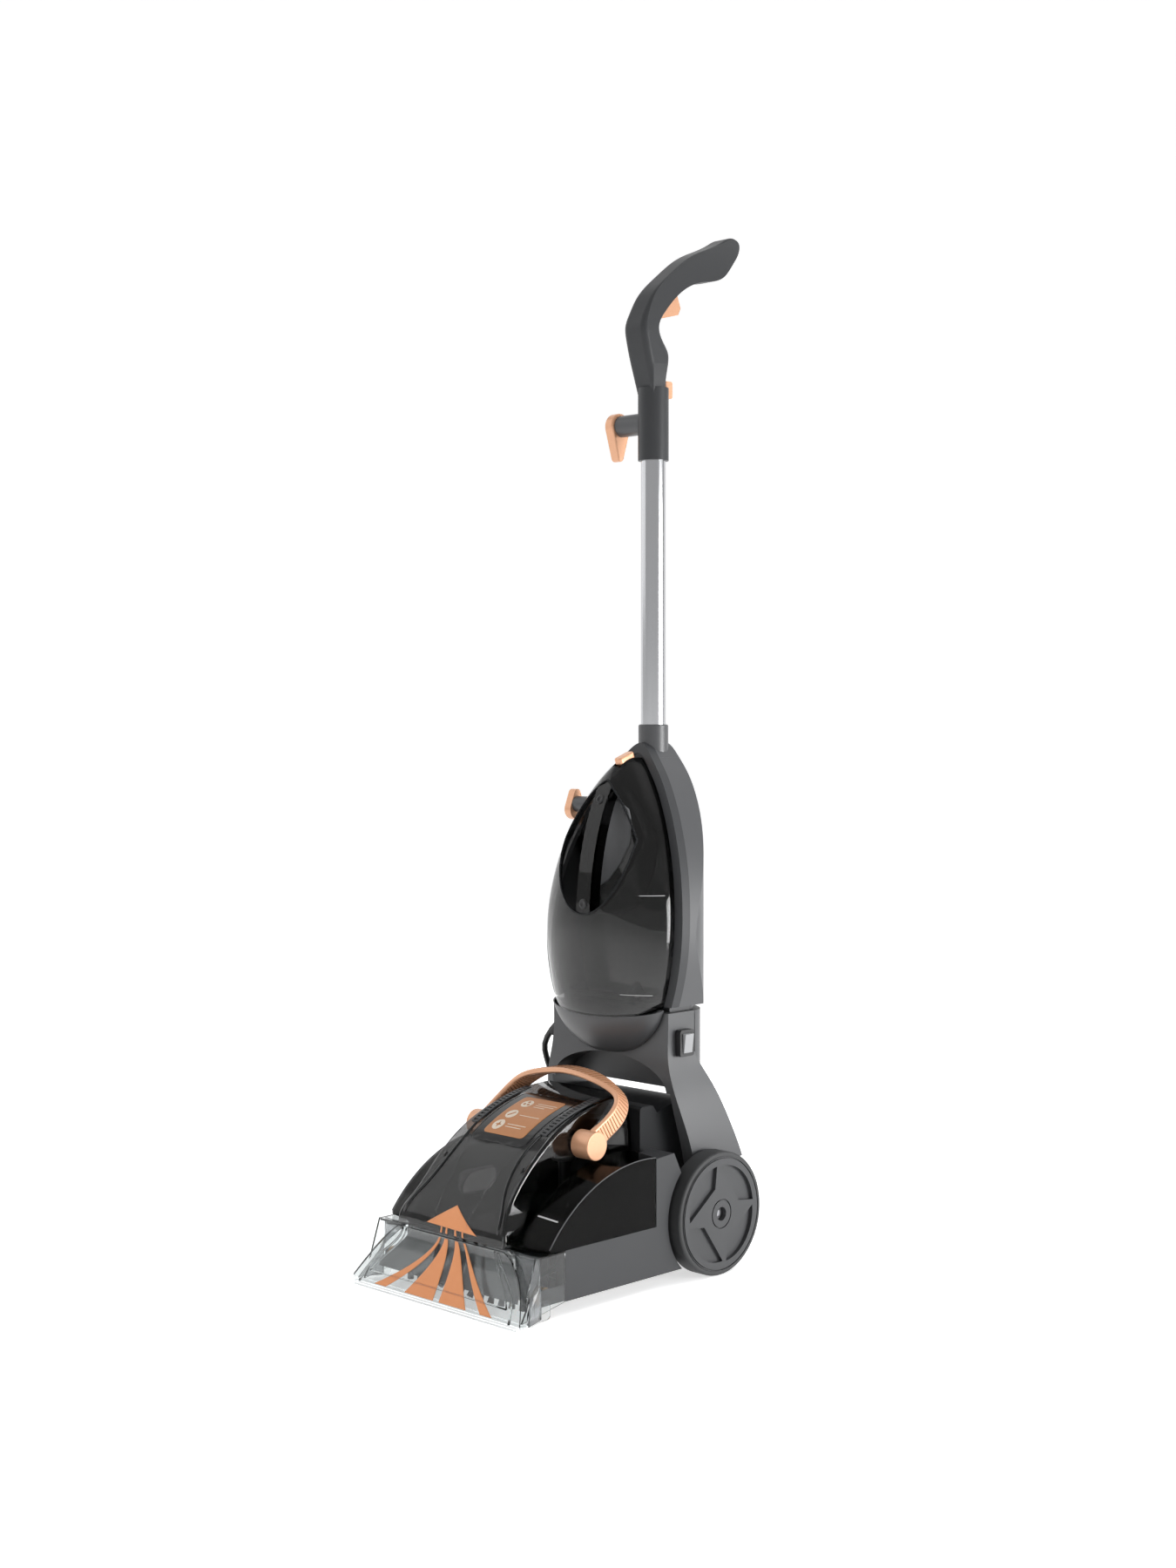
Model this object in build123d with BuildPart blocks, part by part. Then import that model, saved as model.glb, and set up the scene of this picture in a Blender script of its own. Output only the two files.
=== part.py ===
from build123d import *
import os
from math import acos, atan2, cos, hypot, pi, radians, sin, sqrt, tan

os.makedirs("parts", exist_ok=True)

# Upright carpet washer, in millimetres. The nozzle faces -Y, +X is the switch side, +Z is up and the
# machine stands on the floor at Z = 0.

# Fits shared by all pieces
RUN_GAP = 0.05
SEAT_GAP = 0.3
SIDE_ROOM = 2.0
WALL = 2.5

# Wheels and axle
WHEEL_D = 129.0
WHEEL_W = 24.0
WHEEL_OUTER_X = 130.0
TYRE_T = 5.0
WHEEL_WEB = 8.0
HUB_R = 13.0
SPOKE_POCKET_DEPTH = 4.0
SPOKE_POCKET = ((0.79, 98.0), (0.80, 140.0), (0.77, 182.0), (0.45, 110.0))
RING_GROOVES = (0.905, 0.23)
GROOVE_W = 1.4
AXLE_D = 8.0
AXLE_Y = 62.8
AXLE_Z = WHEEL_D / 2
AXLE_HALF = 125.0
CLIP_R = 6.5
CLIP_T = 1.6
CLIP_POCKET_R = 7.2
CLIP_POCKET_DEPTH = 7.5

# Base chassis
SKIRT_X = 118.0
SKIRT_FRONT_Y = -156.0
SKIRT_BOTTOM = 14.0
DECK_Z = 64.0
ARCH_R = 70.0
REAR_X = 79.0
REAR_Y = 112.0
REAR_BOTTOM = 20.0
DOCK_IN_X = 85.5
DOCK_FRONT_Y = -25.0
DOCK_TOP_FRONT_Z = 133.5
DOCK_TOP_REAR = (2.0, 135.5)
DOCK_HEEL = (13.0, 114.0)
CHEEK_T = 6.0
CHEEK_R = 15.0
PLATE_T = 2.5

# Tower over the suction motor
TOWER_X = 77.0
TOWER_FRONT_Y = -6.0
TOWER_TOP_Z = 178.0
TOWER_SHOULDER_Y = 14.0
TOWER_ARC_R = 113.0
TOWER_ARC_HALF_DEG = 22.0
TOWER_EDGE_R = 5.0
MOTOR_Y = 56.0
MOTOR_R = 40.0
MOTOR_H = 72.0
FAN_R = 36.0
FAN_H = 14.0
FAN_BLADES = 9
FAN_PITCH = 25.0
FAN_SHAFT_R = 4.0
PORT_Z = 150.0
PORT_W = 70.0
PORT_H = 16.0

# Brush, belt and brush motor
BRUSH_Y = -180.0
BRUSH_Z = 22.5
BRUSH_CORE_R = 9.5
BRUSH_TIP_R = 20.0
BRUSH_HALF = 103.0
BRUSH_TUFT_ROWS = 4
BRUSH_TUFTS = 14
BRUSH_TUFT_SPAN = 84.0
TUFT_R = 2.4
TUFT_SIDES = 5
TUFT_FLARE = 6.0
BRUSH_PIN_R = 4.0
BEARING_OUT_X = 113.0
BEARING_R = 9.0
BELT_X = 97.0
BELT_W = 8.0
BELT_T = 1.6
PULLEY_R = 9.0
BRUSH_PULLEY_R = 12.0
BRUSH_MOTOR_Y = -115.0
BRUSH_MOTOR_Z = 40.0
BRUSH_MOTOR_R = 20.0
BRUSH_MOTOR_X = (18.0, 84.0)

# Suction nozzle, as half width, front and depth at each height
NOZZLE_WALL = 2.2
NOZZLE_TOP_Z = 63.4
NOZZLE_LEVELS = (
    (NOZZLE_TOP_Z, 80.0, -203.0, 15.0),
    (44.0, 103.0, -206.5, 14.0),
    (24.0, 117.0, -216.0, 13.0),
    (3.0, 128.0, -228.0, 13.0),
)
LIP_HALF = 131.7
LIP_FRONT_Y = -230.0
LIP_DEPTH = 17.0
LIP_T = 3.0
LIP_SLOT_HALF = 123.0
WING_FOOT_Y = -216.0
WING_TOP_Y = -196.0

# Recovery tank and its hood
TANK_FLOOR_T = 2.5
LOBE_IN_X = 80.5
LOBE_REAR_Y = -26.0
LOBE_OUTER = ((-178.0, 68.0), (-121.0, 116.5), (-26.0, 135.0))
LOBE_INNER = ((-185.0, 68.0), (-124.0, 118.5), (-26.0, 138.0))
HOOD_REAR_Y = -8.0
HOOD_RIDGE = (
    (-203.5, 66.8), (-202.5, 77.0), (-189.5, 98.5), (-166.0, 126.5),
    (-129.5, 157.0), (-66.0, 183.5), (-4.0, 190.3),
)
HOOD_FLANK = (
    (79.5, 66.8), (79.0, 77.0), (71.0, 96.0), (67.0, 118.0), (65.0, 155.0), (61.0, 178.0), (58.0, 200.0),
)
HOOD_WALL = 2.5
HOOD_EDGE_R = 4.0
HOOD_EDGE_SPAN = (67.5, 195.0)
VENT_X = 51.0
VENT_W = 9.0
VENT_T = 1.6
VENT_SPAN_Y = (-122.0, -44.0)
VENT_SLOTS = 16
VENT_SLOT = (6.0, 2.4)
FLOAT_Y = -42.0
FLOAT_R = 13.0
FLOAT_H = 26.0
FLOAT_Z = 118.0
FLOAT_TRAVEL = 14.0
FLOAT_STEM_R = 3.0

# Carry handle: the middle line of its strap from the crown to the arm
CARRY_PIVOT_Y = -84.0
CARRY_PIVOT_Z = 151.0
CARRY_BOSS_R = 14.5
CARRY_BOSS_X = (67.5, 89.0)
CARRY_CAP_X = 91.0
CARRY_PIN_R = 4.0
STRAP_W = 21.0
STRAP_T = 6.0
STRAP_PATH = (
    (0.0, -29.0, 211.0), (30.0, -29.0, 208.0), (58.0, -29.5, 199.5), (76.0, -33.0, 188.0),
    (82.0, -47.0, 174.5), (82.0, -64.0, 163.5), (81.0, -80.0, 153.5),
)
STRAP_STATIONS = 18
STRAP_TWIST = 58.0
TWIST_SPAN = (0.15, 0.9)

# Upper housing: an arch seen from the front, a leaning front and a rounded back
BODY_BOTTOM = 279.0
BODY_APEX = 557.0
BODY_WIDE_Z = 352.0
BODY_HALF = 101.0
BODY_TUCK = 0.0025
BODY_POWER = 0.8
FRONT_Y = 31.0
LEAN_START_Z = 300.0
LEAN = 46.0
BODY_SIDE_Y = 45.0
BODY_REAR_Y = 118.0
RIM = 11.0
BAND = 12.0
SHELL = 3.0
CRADLE_Y = 74.0
PARTING_Z = 541.0
LEAN_STEPS = 8
ARCH_STEPS = (0.0, 0.1, 0.22, 0.35, 0.5, 0.65, 0.78, 0.88, 0.95)

# Lower body: two legs that straddle the tower, a block over them and a bowl under the clean tank
BLOCK_TOP = 273.0
BLOCK_BOTTOM = 189.0
BLOCK_HALF = 86.0
BLOCK_SPLIT_Y = 70.0
BLOCK_REAR_Y = 112.0
NECK_INSET = 8.0
LEG_IN_X = 88.5
LEG_BOTTOM = 112.0
LEG_FLANK = ((86.0, 273.0), (85.5, 250.0), (86.5, 225.0), (95.0, 190.0), (101.0, 155.0), (103.0, 112.0))
LEG_FRONT = ((28.0, 273.0), (28.0, 240.0), (27.5, 195.0), (38.0, 155.0), (50.0, 112.0))
LEG_REAR = ((70.0, 273.0), (70.0, 228.0), (84.0, 203.0), (107.0, 157.0), (128.0, 112.0))
LUG_R = 21.0
LUG_OUT_X = 101.0
SADDLE_HALF = 83.0
SADDLE_RISE = 35.0
SADDLE_Y = 57.0
BOWL_BACK_Y = 27.0
BOWL_LEVELS = (
    (226.0, 20.0, 8.0), (235.0, 46.0, 16.0), (250.0, 65.0, 24.0), (265.0, 76.0, 29.0), (284.0, 82.0, 32.0),
)

# Clean-water tank: an egg-shaped front with a grip pocket
TANK_GAP = 0.8
TANK_TAPER = 5.0
TANK_WALL = 2.2
TANK_LEVELS = (255.0, 300.0, 350.0, 400.0, 450.0, 490.0, 518.0, 534.0, 541.0)
EGG_Y = 72.0
EGG_Z = 365.0
EGG_DEPTH = 86.0
EGG_UP = 182.0
EGG_DOWN = 207.0
TILT_Y = -3.0
TILT_Z = 267.5
TANK_FLOOR_SLOPE = 0.3
POCKET_APEX = 517.0
POCKET_STEPS = (0.0, 0.25, 0.5, 0.75, 0.91)
POCKET_MID = 455.0
POCKET_BOTTOM = 375.0
POCKET_RIM = 23.0
POCKET_BACK_Y = 44.0
GRIP_HALF = 10.0
GRIP_T = 15.0
GRIP_ENDS = (372.0, 520.0)
VALVE_X = 24.0
VALVE_Y = 46.0
VALVE_R = 9.0
VALVE_STEM_R = 3.0
VALVE_H = 12.0
VALVE_TAPER = 30.0
LATCH_Y = 52.0
LATCH_Z = 540.0
LATCH_TILT = 20.0
LATCH_L = 24.0
LATCH_W = 11.0
LATCH_FLAT_W = 80.0
LATCH_T = 8.0
LATCH_TRAVEL = 4.0

# Switch on the +X wall
SWITCH_Y = 50.0
SWITCH_Z = 241.0
SWITCH_W = 22.0
SWITCH_H = 28.0
SWITCH_PROUD = 7.0
ROCKER_W = 13.0
ROCKER_H = 20.0
ROCKER_T = 5.0
ROCKER_TILT = 7.0

# Tube, handle and trigger
TUBE_D = 27.5
TUBE_WALL = 1.25
TUBE_Y = 98.0
TUBE_BOTTOM = 470.0
TUBE_TOP = 930.0
COLLAR_R = 16.5
COLLAR_TOP = 577.0
SLEEVE_R = 17.0
SLEEVE_BOTTOM = 868.0
SLEEVE_TOP = 948.0
GRIP_SPLIT_X = -9.0
HANDLE_HALF = 16.5
HANDLE_EDGE_R = 7.0
HANDLE_LINE = (
    (87.0, 932.0), (83.0, 950.0), (74.5, 975.0), (67.5, 1000.0), (66.0, 1012.0), (73.0, 1030.0),
    (84.0, 1048.0),
    (112.0, 1074.0), (150.0, 1101.0), (200.0, 1124.0), (222.0, 1131.0), (229.0, 1126.0), (229.0, 1116.0),
    (221.0, 1103.0), (204.0, 1084.5), (165.0, 1073.0), (133.0, 1058.0), (104.0, 1031.0), (94.0, 1012.0),
    (99.0, 1000.0), (108.0, 987.0), (106.5, 965.0), (108.5, 932.0),
)
NECK_FLARE = ((11.0, 932.0), (13.0, 948.0), (15.8, 966.0), (17.0, 990.0), (17.0, 1140.0))
TRIGGER_PIVOT = (104.0, 1044.0)
TRIGGER_PIN_R = 2.0
TRIGGER_HALF = 5.5
TRIGGER_SHAPE = (
    (84.0, 1040.0), (104.0, 1051.0), (130.0, 1058.0), (137.0, 1041.0), (133.0, 1033.0), (107.0, 1026.0),
    (99.0, 1036.0), (84.0, 1033.0),
)
TRIGGER_ROOM = (
    (81.0, 1026.0), (81.0, 1042.5), (104.0, 1059.0), (136.0, 1074.0), (144.0, 1062.0), (142.0, 1028.0),
    (106.0, 1016.0), (98.0, 1026.0),
)
ROD_R = 1.8
ROD_Y = 88.0
ROD_BOTTOM = 304.0
ROD_ROOM = 4.0

# Cord hooks and clip on the -X side and back of the handle
HOOK_Y = 97.0
HOOK_Z = 910.0
HOOK_POST_R = 12.0
HOOK_POST_X = -47.0
HOOK_OUT_X = -60.0
HOOK_HEAD_R = 15.0
HOOK_TIP_R = 5.0
HOOK_DROP = 34.0
HOOK_STUB_R = 5.0
LOWER_HOOK_Y = 75.0
LOWER_HOOK_Z = 487.0
LOWER_HOOK_R = 9.0
LOWER_HOOK_X = -95.0
LOWER_HOOK_OUT_X = -106.0
LOWER_HOOK_RISE = 12.0
CABLE_CLIP_Z = 948.0
CABLE_CLIP_H = 19.0
CABLE_CLIP_OUT = 124.0

# Mains cord: a tapered relief, a free run down behind the wheel, a tied coil on the floor and a plug
CORD_D = 6.6
CORD_EXIT = (-BLOCK_HALF - SEAT_GAP, 50.0, 250.0)
CORD_AIM = (-0.77, 0.0, -0.64)
RELIEF_L = 30.0
RELIEF_R = 7.5
RELIEF_TAPER = 4.5
CORD_RUN = (
    (-125.5, 57.0, 195.0), (-126.5, 72.0, 168.0), (-124.0, 95.0, 143.0), (-119.0, 119.0, 116.0),
    (-113.0, 142.0, 86.0), (-106.0, 163.0, 58.0), (-100.5, 184.0, 38.0),
)
COIL_X = -30.0
COIL_Y = 212.0
COIL_START_DEG = 160.0
COIL_IN_R = 27.5
COIL_PITCH = 8.0
COIL_TURNS = 4
COIL_LAYERS = 4
COIL_LAYER_H = 7.4
TAIL_R = 40.0
BEND_SHARE = 0.45
TAIL_DEG = 40.0
TIE_T = 1.3
TIE_W = 10.0
TIE_DEG = 60.0
PLUG_L = 46.0
PLUG_W = 42.0
PLUG_H = 17.0
PIN_L = 18.0
PIN_SIZE = (4.0, 6.3)
EARTH_L = 22.0
EARTH_AT = 0.8 * PLUG_L
EARTH_SIZE = (8.0, 4.0)


def side_plane(x=0.0):
    return Plane(origin=(x, 0, 0), x_dir=(0, 1, 0), z_dir=(1, 0, 0))


def front_plane(y=0.0):
    return Plane(origin=(0, y, 0), x_dir=(1, 0, 0), z_dir=(0, -1, 0))


def keep(piece, name):
    piece.part.label = name
    export_step(piece.part, f"parts/{name}.step")


# Each wheel is a disc with swept pockets in its face and a rubber tyre round the rim
RIM_R = WHEEL_D / 2 - TYRE_T


def wheel_point(share, angle):
    reach = share * WHEEL_D / 2
    return (AXLE_Y + reach * cos(radians(angle)), AXLE_Z + reach * sin(radians(angle)))


def wheel_disc(side):
    inner_x = side * (WHEEL_OUTER_X - WHEEL_W)
    with BuildPart() as disc:
        with BuildSketch(side_plane(inner_x)):
            with Locations((AXLE_Y, AXLE_Z)):
                Circle(RIM_R)
        extrude(amount=side * WHEEL_W)
        with BuildSketch(side_plane(inner_x)):
            with Locations((AXLE_Y, AXLE_Z)):
                Circle(RIM_R - TYRE_T)
                Circle(HUB_R + WALL, mode=Mode.SUBTRACT)
        extrude(amount=side * (WHEEL_W - WHEEL_WEB), mode=Mode.SUBTRACT)
        with BuildSketch(side_plane(side * WHEEL_OUTER_X)):
            for quarter in range(4):
                turn = 90 * quarter
                corners = [wheel_point(share, angle + turn) for share, angle in SPOKE_POCKET]
                with BuildLine():
                    ThreePointArc(*corners[:3])
                    Polyline(corners[2], corners[3], corners[0])
                make_face()
        extrude(amount=-side * SPOKE_POCKET_DEPTH, mode=Mode.SUBTRACT)
        with BuildSketch(side_plane(side * WHEEL_OUTER_X)):
            with Locations((AXLE_Y, AXLE_Z)):
                for share in RING_GROOVES:
                    Circle(share * WHEEL_D / 2 + GROOVE_W / 2)
                    Circle(share * WHEEL_D / 2 - GROOVE_W / 2, mode=Mode.SUBTRACT)
        extrude(amount=-side * GROOVE_W, mode=Mode.SUBTRACT)
        with BuildSketch(side_plane(side * WHEEL_OUTER_X)):
            with Locations((AXLE_Y, AXLE_Z)):
                Circle(CLIP_POCKET_R)
        extrude(amount=-side * CLIP_POCKET_DEPTH, mode=Mode.SUBTRACT)
        with BuildSketch(side_plane(side * WHEEL_OUTER_X)):
            with Locations((AXLE_Y, AXLE_Z)):
                Circle(AXLE_D / 2 + RUN_GAP)
        extrude(amount=-side * WHEEL_W, mode=Mode.SUBTRACT)
    return disc


def wheel_tyre(side):
    tread = WHEEL_W - 2
    with BuildPart() as tyre:
        with BuildSketch(side_plane(side * (WHEEL_OUTER_X - WHEEL_W / 2))):
            with Locations((AXLE_Y, AXLE_Z)):
                Circle(WHEEL_D / 2)
        extrude(amount=tread / 2, both=True)
        fillet(tyre.edges().filter_by(GeomType.CIRCLE), TYRE_T / 2)
        with BuildSketch(side_plane(side * (WHEEL_OUTER_X - WHEEL_W / 2))):
            with Locations((AXLE_Y, AXLE_Z)):
                Circle(RIM_R + RUN_GAP / 2)
        extrude(amount=WHEEL_W, both=True, mode=Mode.SUBTRACT)
    return tyre


wheel_right = wheel_disc(1)
keep(wheel_right, "wheel_right")
tyre_right = wheel_tyre(1)
keep(tyre_right, "tyre_right")
wheel_left = wheel_disc(-1)
keep(wheel_left, "wheel_left")
tyre_left = wheel_tyre(-1)
keep(tyre_left, "tyre_left")

with BuildPart() as rear_axle:
    with BuildSketch(side_plane()):
        with Locations((AXLE_Y, AXLE_Z)):
            Circle(AXLE_D / 2)
    extrude(amount=AXLE_HALF, both=True)
    chamfer(rear_axle.edges().filter_by(GeomType.CIRCLE), AXLE_D / 10)
keep(rear_axle, "rear_axle")

CLIP_IN_X = WHEEL_OUTER_X - CLIP_POCKET_DEPTH + SEAT_GAP

with BuildPart() as axle_clips:
    with BuildSketch(side_plane(CLIP_IN_X)):
        with Locations((AXLE_Y, AXLE_Z)):
            Circle(CLIP_R)
            Circle(AXLE_D / 2 + RUN_GAP / 2, mode=Mode.SUBTRACT)
    extrude(amount=CLIP_T)
    mirror(about=Plane.YZ)
keep(axle_clips, "axle_clips")

# The chassis is an open-bottomed box with wheel arches, a dock block at each side and two axle cheeks
INNER_X = SKIRT_X - WALL
BELT_SLOT_HALF = BELT_W / 2 + SIDE_ROOM

with BuildPart() as base_chassis:
    with BuildSketch(Plane.XY.offset(SKIRT_BOTTOM)):
        with Locations((0, (SKIRT_FRONT_Y + AXLE_Y) / 2)):
            Rectangle(2 * SKIRT_X, AXLE_Y - SKIRT_FRONT_Y)
    extrude(amount=DECK_Z - SKIRT_BOTTOM)
    for side in (1, -1):
        with BuildSketch(side_plane(side * DOCK_IN_X)):
            with BuildLine():
                Polyline(
                    (DOCK_FRONT_Y, DECK_Z), (DOCK_FRONT_Y, DOCK_TOP_FRONT_Z), DOCK_TOP_REAR, DOCK_HEEL,
                    (AXLE_Y, DECK_Z), (DOCK_FRONT_Y, DECK_Z),
                )
            make_face()
        extrude(amount=side * (SKIRT_X - DOCK_IN_X))
    with BuildSketch(side_plane()):
        with Locations((AXLE_Y, AXLE_Z)):
            Circle(ARCH_R)
    extrude(amount=SKIRT_X + WALL, both=True, mode=Mode.SUBTRACT)
    with BuildSketch(Plane.XY.offset(REAR_BOTTOM)):
        with Locations((0, (DOCK_FRONT_Y + REAR_Y) / 2)):
            Rectangle(2 * REAR_X, REAR_Y - DOCK_FRONT_Y)
    extrude(amount=DECK_Z - REAR_BOTTOM)
    with BuildSketch(Plane.XY.offset(SKIRT_BOTTOM)):
        with Locations((0, (SKIRT_FRONT_Y + DOCK_FRONT_Y) / 2)):
            Rectangle(2 * INNER_X, DOCK_FRONT_Y - SKIRT_FRONT_Y - 2 * WALL)
        with Locations((0, (DOCK_FRONT_Y + REAR_Y) / 2 - 2 * WALL)):
            Rectangle(2 * (REAR_X - WALL), REAR_Y - DOCK_FRONT_Y + 2 * WALL)
    extrude(amount=DECK_Z - WALL - SKIRT_BOTTOM, mode=Mode.SUBTRACT)
    for side in (1, -1):
        with BuildSketch(side_plane(side * REAR_X)):
            with Locations((AXLE_Y, AXLE_Z)):
                Circle(CHEEK_R)
            with Locations((AXLE_Y, (REAR_BOTTOM + AXLE_Z) / 2)):
                Rectangle(2 * CHEEK_R, AXLE_Z - REAR_BOTTOM)
        extrude(amount=side * CHEEK_T)
        with BuildSketch(front_plane(SKIRT_FRONT_Y)):
            with Locations((side * (BEARING_OUT_X + INNER_X) / 2, BRUSH_Z)):
                Rectangle(INNER_X - BEARING_OUT_X, 4 * BRUSH_PIN_R)
        extrude(amount=SKIRT_FRONT_Y - BRUSH_Y + 2 * BRUSH_PIN_R)
    with BuildSketch(front_plane(SKIRT_FRONT_Y)):
        with Locations((BELT_X, (SKIRT_BOTTOM + DECK_Z - 3 * WALL) / 2)):
            Rectangle(2 * BELT_SLOT_HALF, DECK_Z - 3 * WALL - SKIRT_BOTTOM)
    extrude(amount=-3 * WALL, mode=Mode.SUBTRACT)
    with BuildSketch(Plane.XY.offset(DECK_Z - 2 * WALL)):
        with Locations((0, MOTOR_Y)):
            Circle(MOTOR_R - 2 * WALL)
        with Locations((0, LOBE_REAR_Y + TOWER_SHOULDER_Y)):
            Rectangle(TOWER_X, 2 * WALL)
    extrude(amount=4 * WALL, mode=Mode.SUBTRACT)
    with BuildSketch(side_plane()):
        with Locations((AXLE_Y, AXLE_Z)):
            Circle(AXLE_D / 2 + RUN_GAP)
    extrude(amount=SKIRT_X, both=True, mode=Mode.SUBTRACT)
keep(base_chassis, "base_chassis")

with BuildPart() as base_plate:
    with BuildSketch(Plane.XY.offset(SKIRT_BOTTOM + WALL / 2)):
        with Locations((0, (SKIRT_FRONT_Y + DOCK_FRONT_Y) / 2)):
            Rectangle(2 * (INNER_X - SEAT_GAP), DOCK_FRONT_Y - SKIRT_FRONT_Y - 2 * WALL - 2 * SEAT_GAP)
        for side in (1, -1):
            with Locations((side * INNER_X / 2, SKIRT_FRONT_Y / 2)):
                SlotOverall(SKIRT_X / 2, 3 * WALL, mode=Mode.SUBTRACT)
        with Locations((BELT_X, SKIRT_FRONT_Y)):
            Rectangle(2 * BELT_SLOT_HALF, 6 * BELT_W, mode=Mode.SUBTRACT)
    extrude(amount=PLATE_T)
keep(base_plate, "base_plate")

# The tower closes over the suction motor and curves round the tilt axis
TOWER_TURN = radians(TOWER_ARC_HALF_DEG)


def tower_outline(inset):
    reach = TOWER_ARC_R - inset
    shoulder = (AXLE_Y - reach * sin(TOWER_TURN), AXLE_Z + reach * cos(TOWER_TURN))
    crown = (AXLE_Y, AXLE_Z + reach)
    heel = (AXLE_Y + reach * sin(TOWER_TURN), AXLE_Z + reach * cos(TOWER_TURN))
    ThreePointArc(shoulder, crown, heel)
    Polyline(
        heel, (REAR_Y - inset, AXLE_Z + MOTOR_H), (REAR_Y - inset, DECK_Z + RUN_GAP),
        (TOWER_FRONT_Y + inset, DECK_Z + RUN_GAP), (TOWER_FRONT_Y + inset, TOWER_TOP_Z - inset),
        (TOWER_SHOULDER_Y - inset, TOWER_TOP_Z - inset), shoulder,
    )


with BuildPart() as base_tower:
    with BuildSketch(side_plane()):
        with BuildLine():
            tower_outline(0)
        make_face()
    extrude(amount=TOWER_X, both=True)
    fillet(base_tower.edges().filter_by(Axis.X).group_by(Axis.Z)[-1], TOWER_EDGE_R)
    with BuildSketch(side_plane()):
        with BuildLine():
            tower_outline(WALL)
        make_face()
    extrude(amount=TOWER_X - WALL, both=True, mode=Mode.SUBTRACT)
    with BuildSketch(front_plane(TOWER_FRONT_Y)):
        with Locations((0, PORT_Z)):
            SlotOverall(PORT_W, PORT_H)
    extrude(amount=-2 * WALL, mode=Mode.SUBTRACT)
    with BuildSketch(side_plane()):
        with Locations((AXLE_Y, AXLE_Z)):
            Circle(AXLE_D / 2 + SEAT_GAP)
    extrude(amount=TOWER_X, both=True, mode=Mode.SUBTRACT)
keep(base_tower, "base_tower")

MOTOR_BOTTOM = DECK_Z + RUN_GAP
MOTOR_TOP = MOTOR_BOTTOM + MOTOR_H

with BuildPart() as suction_motor:
    with BuildSketch(Plane.XY.offset(MOTOR_BOTTOM)):
        with Locations((0, MOTOR_Y)):
            Circle(MOTOR_R)
    extrude(amount=MOTOR_H)
    chamfer(suction_motor.edges().group_by(Axis.Z)[-1], WALL)
    with BuildSketch(Plane.XY.offset(MOTOR_TOP)):
        with Locations((0, MOTOR_Y)):
            Circle(FAN_SHAFT_R + RUN_GAP)
    extrude(amount=-MOTOR_H / 2, mode=Mode.SUBTRACT)
    with BuildSketch(side_plane()):
        with Locations((AXLE_Y, AXLE_Z)):
            Rectangle(2 * AXLE_D, 2 * AXLE_D)
    extrude(amount=MOTOR_R, both=True, mode=Mode.SUBTRACT)
keep(suction_motor, "suction_motor")

FAN_Z = MOTOR_TOP + SIDE_ROOM

with BuildPart() as suction_fan:
    with BuildSketch(Plane.XY.offset(FAN_Z)):
        with Locations((0, MOTOR_Y)):
            Circle(FAN_R)
    extrude(amount=WALL / 2)
    with BuildSketch(Plane.XY.offset(FAN_Z)):
        with Locations((0, MOTOR_Y)):
            Circle(2 * FAN_SHAFT_R)
    extrude(amount=FAN_H)
    with BuildSketch(Plane.XY.offset(FAN_Z)):
        with Locations((0, MOTOR_Y)):
            with PolarLocations((FAN_R + FAN_SHAFT_R) / 2, FAN_BLADES):
                Rectangle(FAN_R - FAN_SHAFT_R, WALL / 2, rotation=FAN_PITCH)
    extrude(amount=FAN_H - WALL)
    with BuildSketch(Plane.XY.offset(FAN_Z)):
        with Locations((0, MOTOR_Y)):
            Circle(FAN_SHAFT_R)
    extrude(amount=-MOTOR_H / 3)
keep(suction_fan, "suction_fan")

# Brush roll with its tufts, belt and drive
with BuildPart() as brush_roll:
    with BuildSketch(side_plane()):
        with Locations((BRUSH_Y, BRUSH_Z)):
            Circle(BRUSH_CORE_R)
    extrude(amount=BRUSH_HALF, both=True)
    with BuildSketch(side_plane()):
        with Locations((BRUSH_Y, BRUSH_Z)):
            Circle(BRUSH_PIN_R)
    extrude(amount=BEARING_OUT_X - SEAT_GAP, both=True)
    with BuildSketch(side_plane(BELT_X)):
        with Locations((BRUSH_Y, BRUSH_Z)):
            Circle(BRUSH_PULLEY_R)
    extrude(amount=BELT_W / 2 + SEAT_GAP, both=True)
keep(brush_roll, "brush_roll")

with BuildPart() as brush_bristles:
    for row in range(BRUSH_TUFT_ROWS):
        for tuft in range(BRUSH_TUFTS):
            along = -BRUSH_TUFT_SPAN + 2 * BRUSH_TUFT_SPAN * tuft / (BRUSH_TUFTS - 1)
            turn = radians(360 / BRUSH_TUFT_ROWS * row + 90 * tuft / (BRUSH_TUFTS - 1))
            outward = (0, cos(turn), sin(turn))
            root = (along, BRUSH_Y + BRUSH_CORE_R * outward[1], BRUSH_Z + BRUSH_CORE_R * outward[2])
            with BuildSketch(Plane(origin=root, x_dir=(1, 0, 0), z_dir=outward)):
                RegularPolygon(radius=TUFT_R, side_count=TUFT_SIDES)
            extrude(amount=BRUSH_TIP_R - BRUSH_CORE_R, taper=-TUFT_FLARE)
    with BuildSketch(side_plane()):
        with Locations((BRUSH_Y, BRUSH_Z)):
            Circle(BRUSH_CORE_R + RUN_GAP / 2)
    extrude(amount=BRUSH_HALF, both=True, mode=Mode.SUBTRACT)
keep(brush_bristles, "brush_bristles")

with BuildPart() as brush_bearings:
    with BuildSketch(side_plane(BRUSH_HALF + 2 * SEAT_GAP)):
        with Locations((BRUSH_Y, BRUSH_Z)):
            Circle(BEARING_R)
            Circle(BRUSH_PIN_R + RUN_GAP, mode=Mode.SUBTRACT)
    extrude(amount=BEARING_OUT_X - BRUSH_HALF - 2 * SEAT_GAP - RUN_GAP)
    mirror(about=Plane.YZ)
keep(brush_bearings, "brush_bearings")

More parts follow.
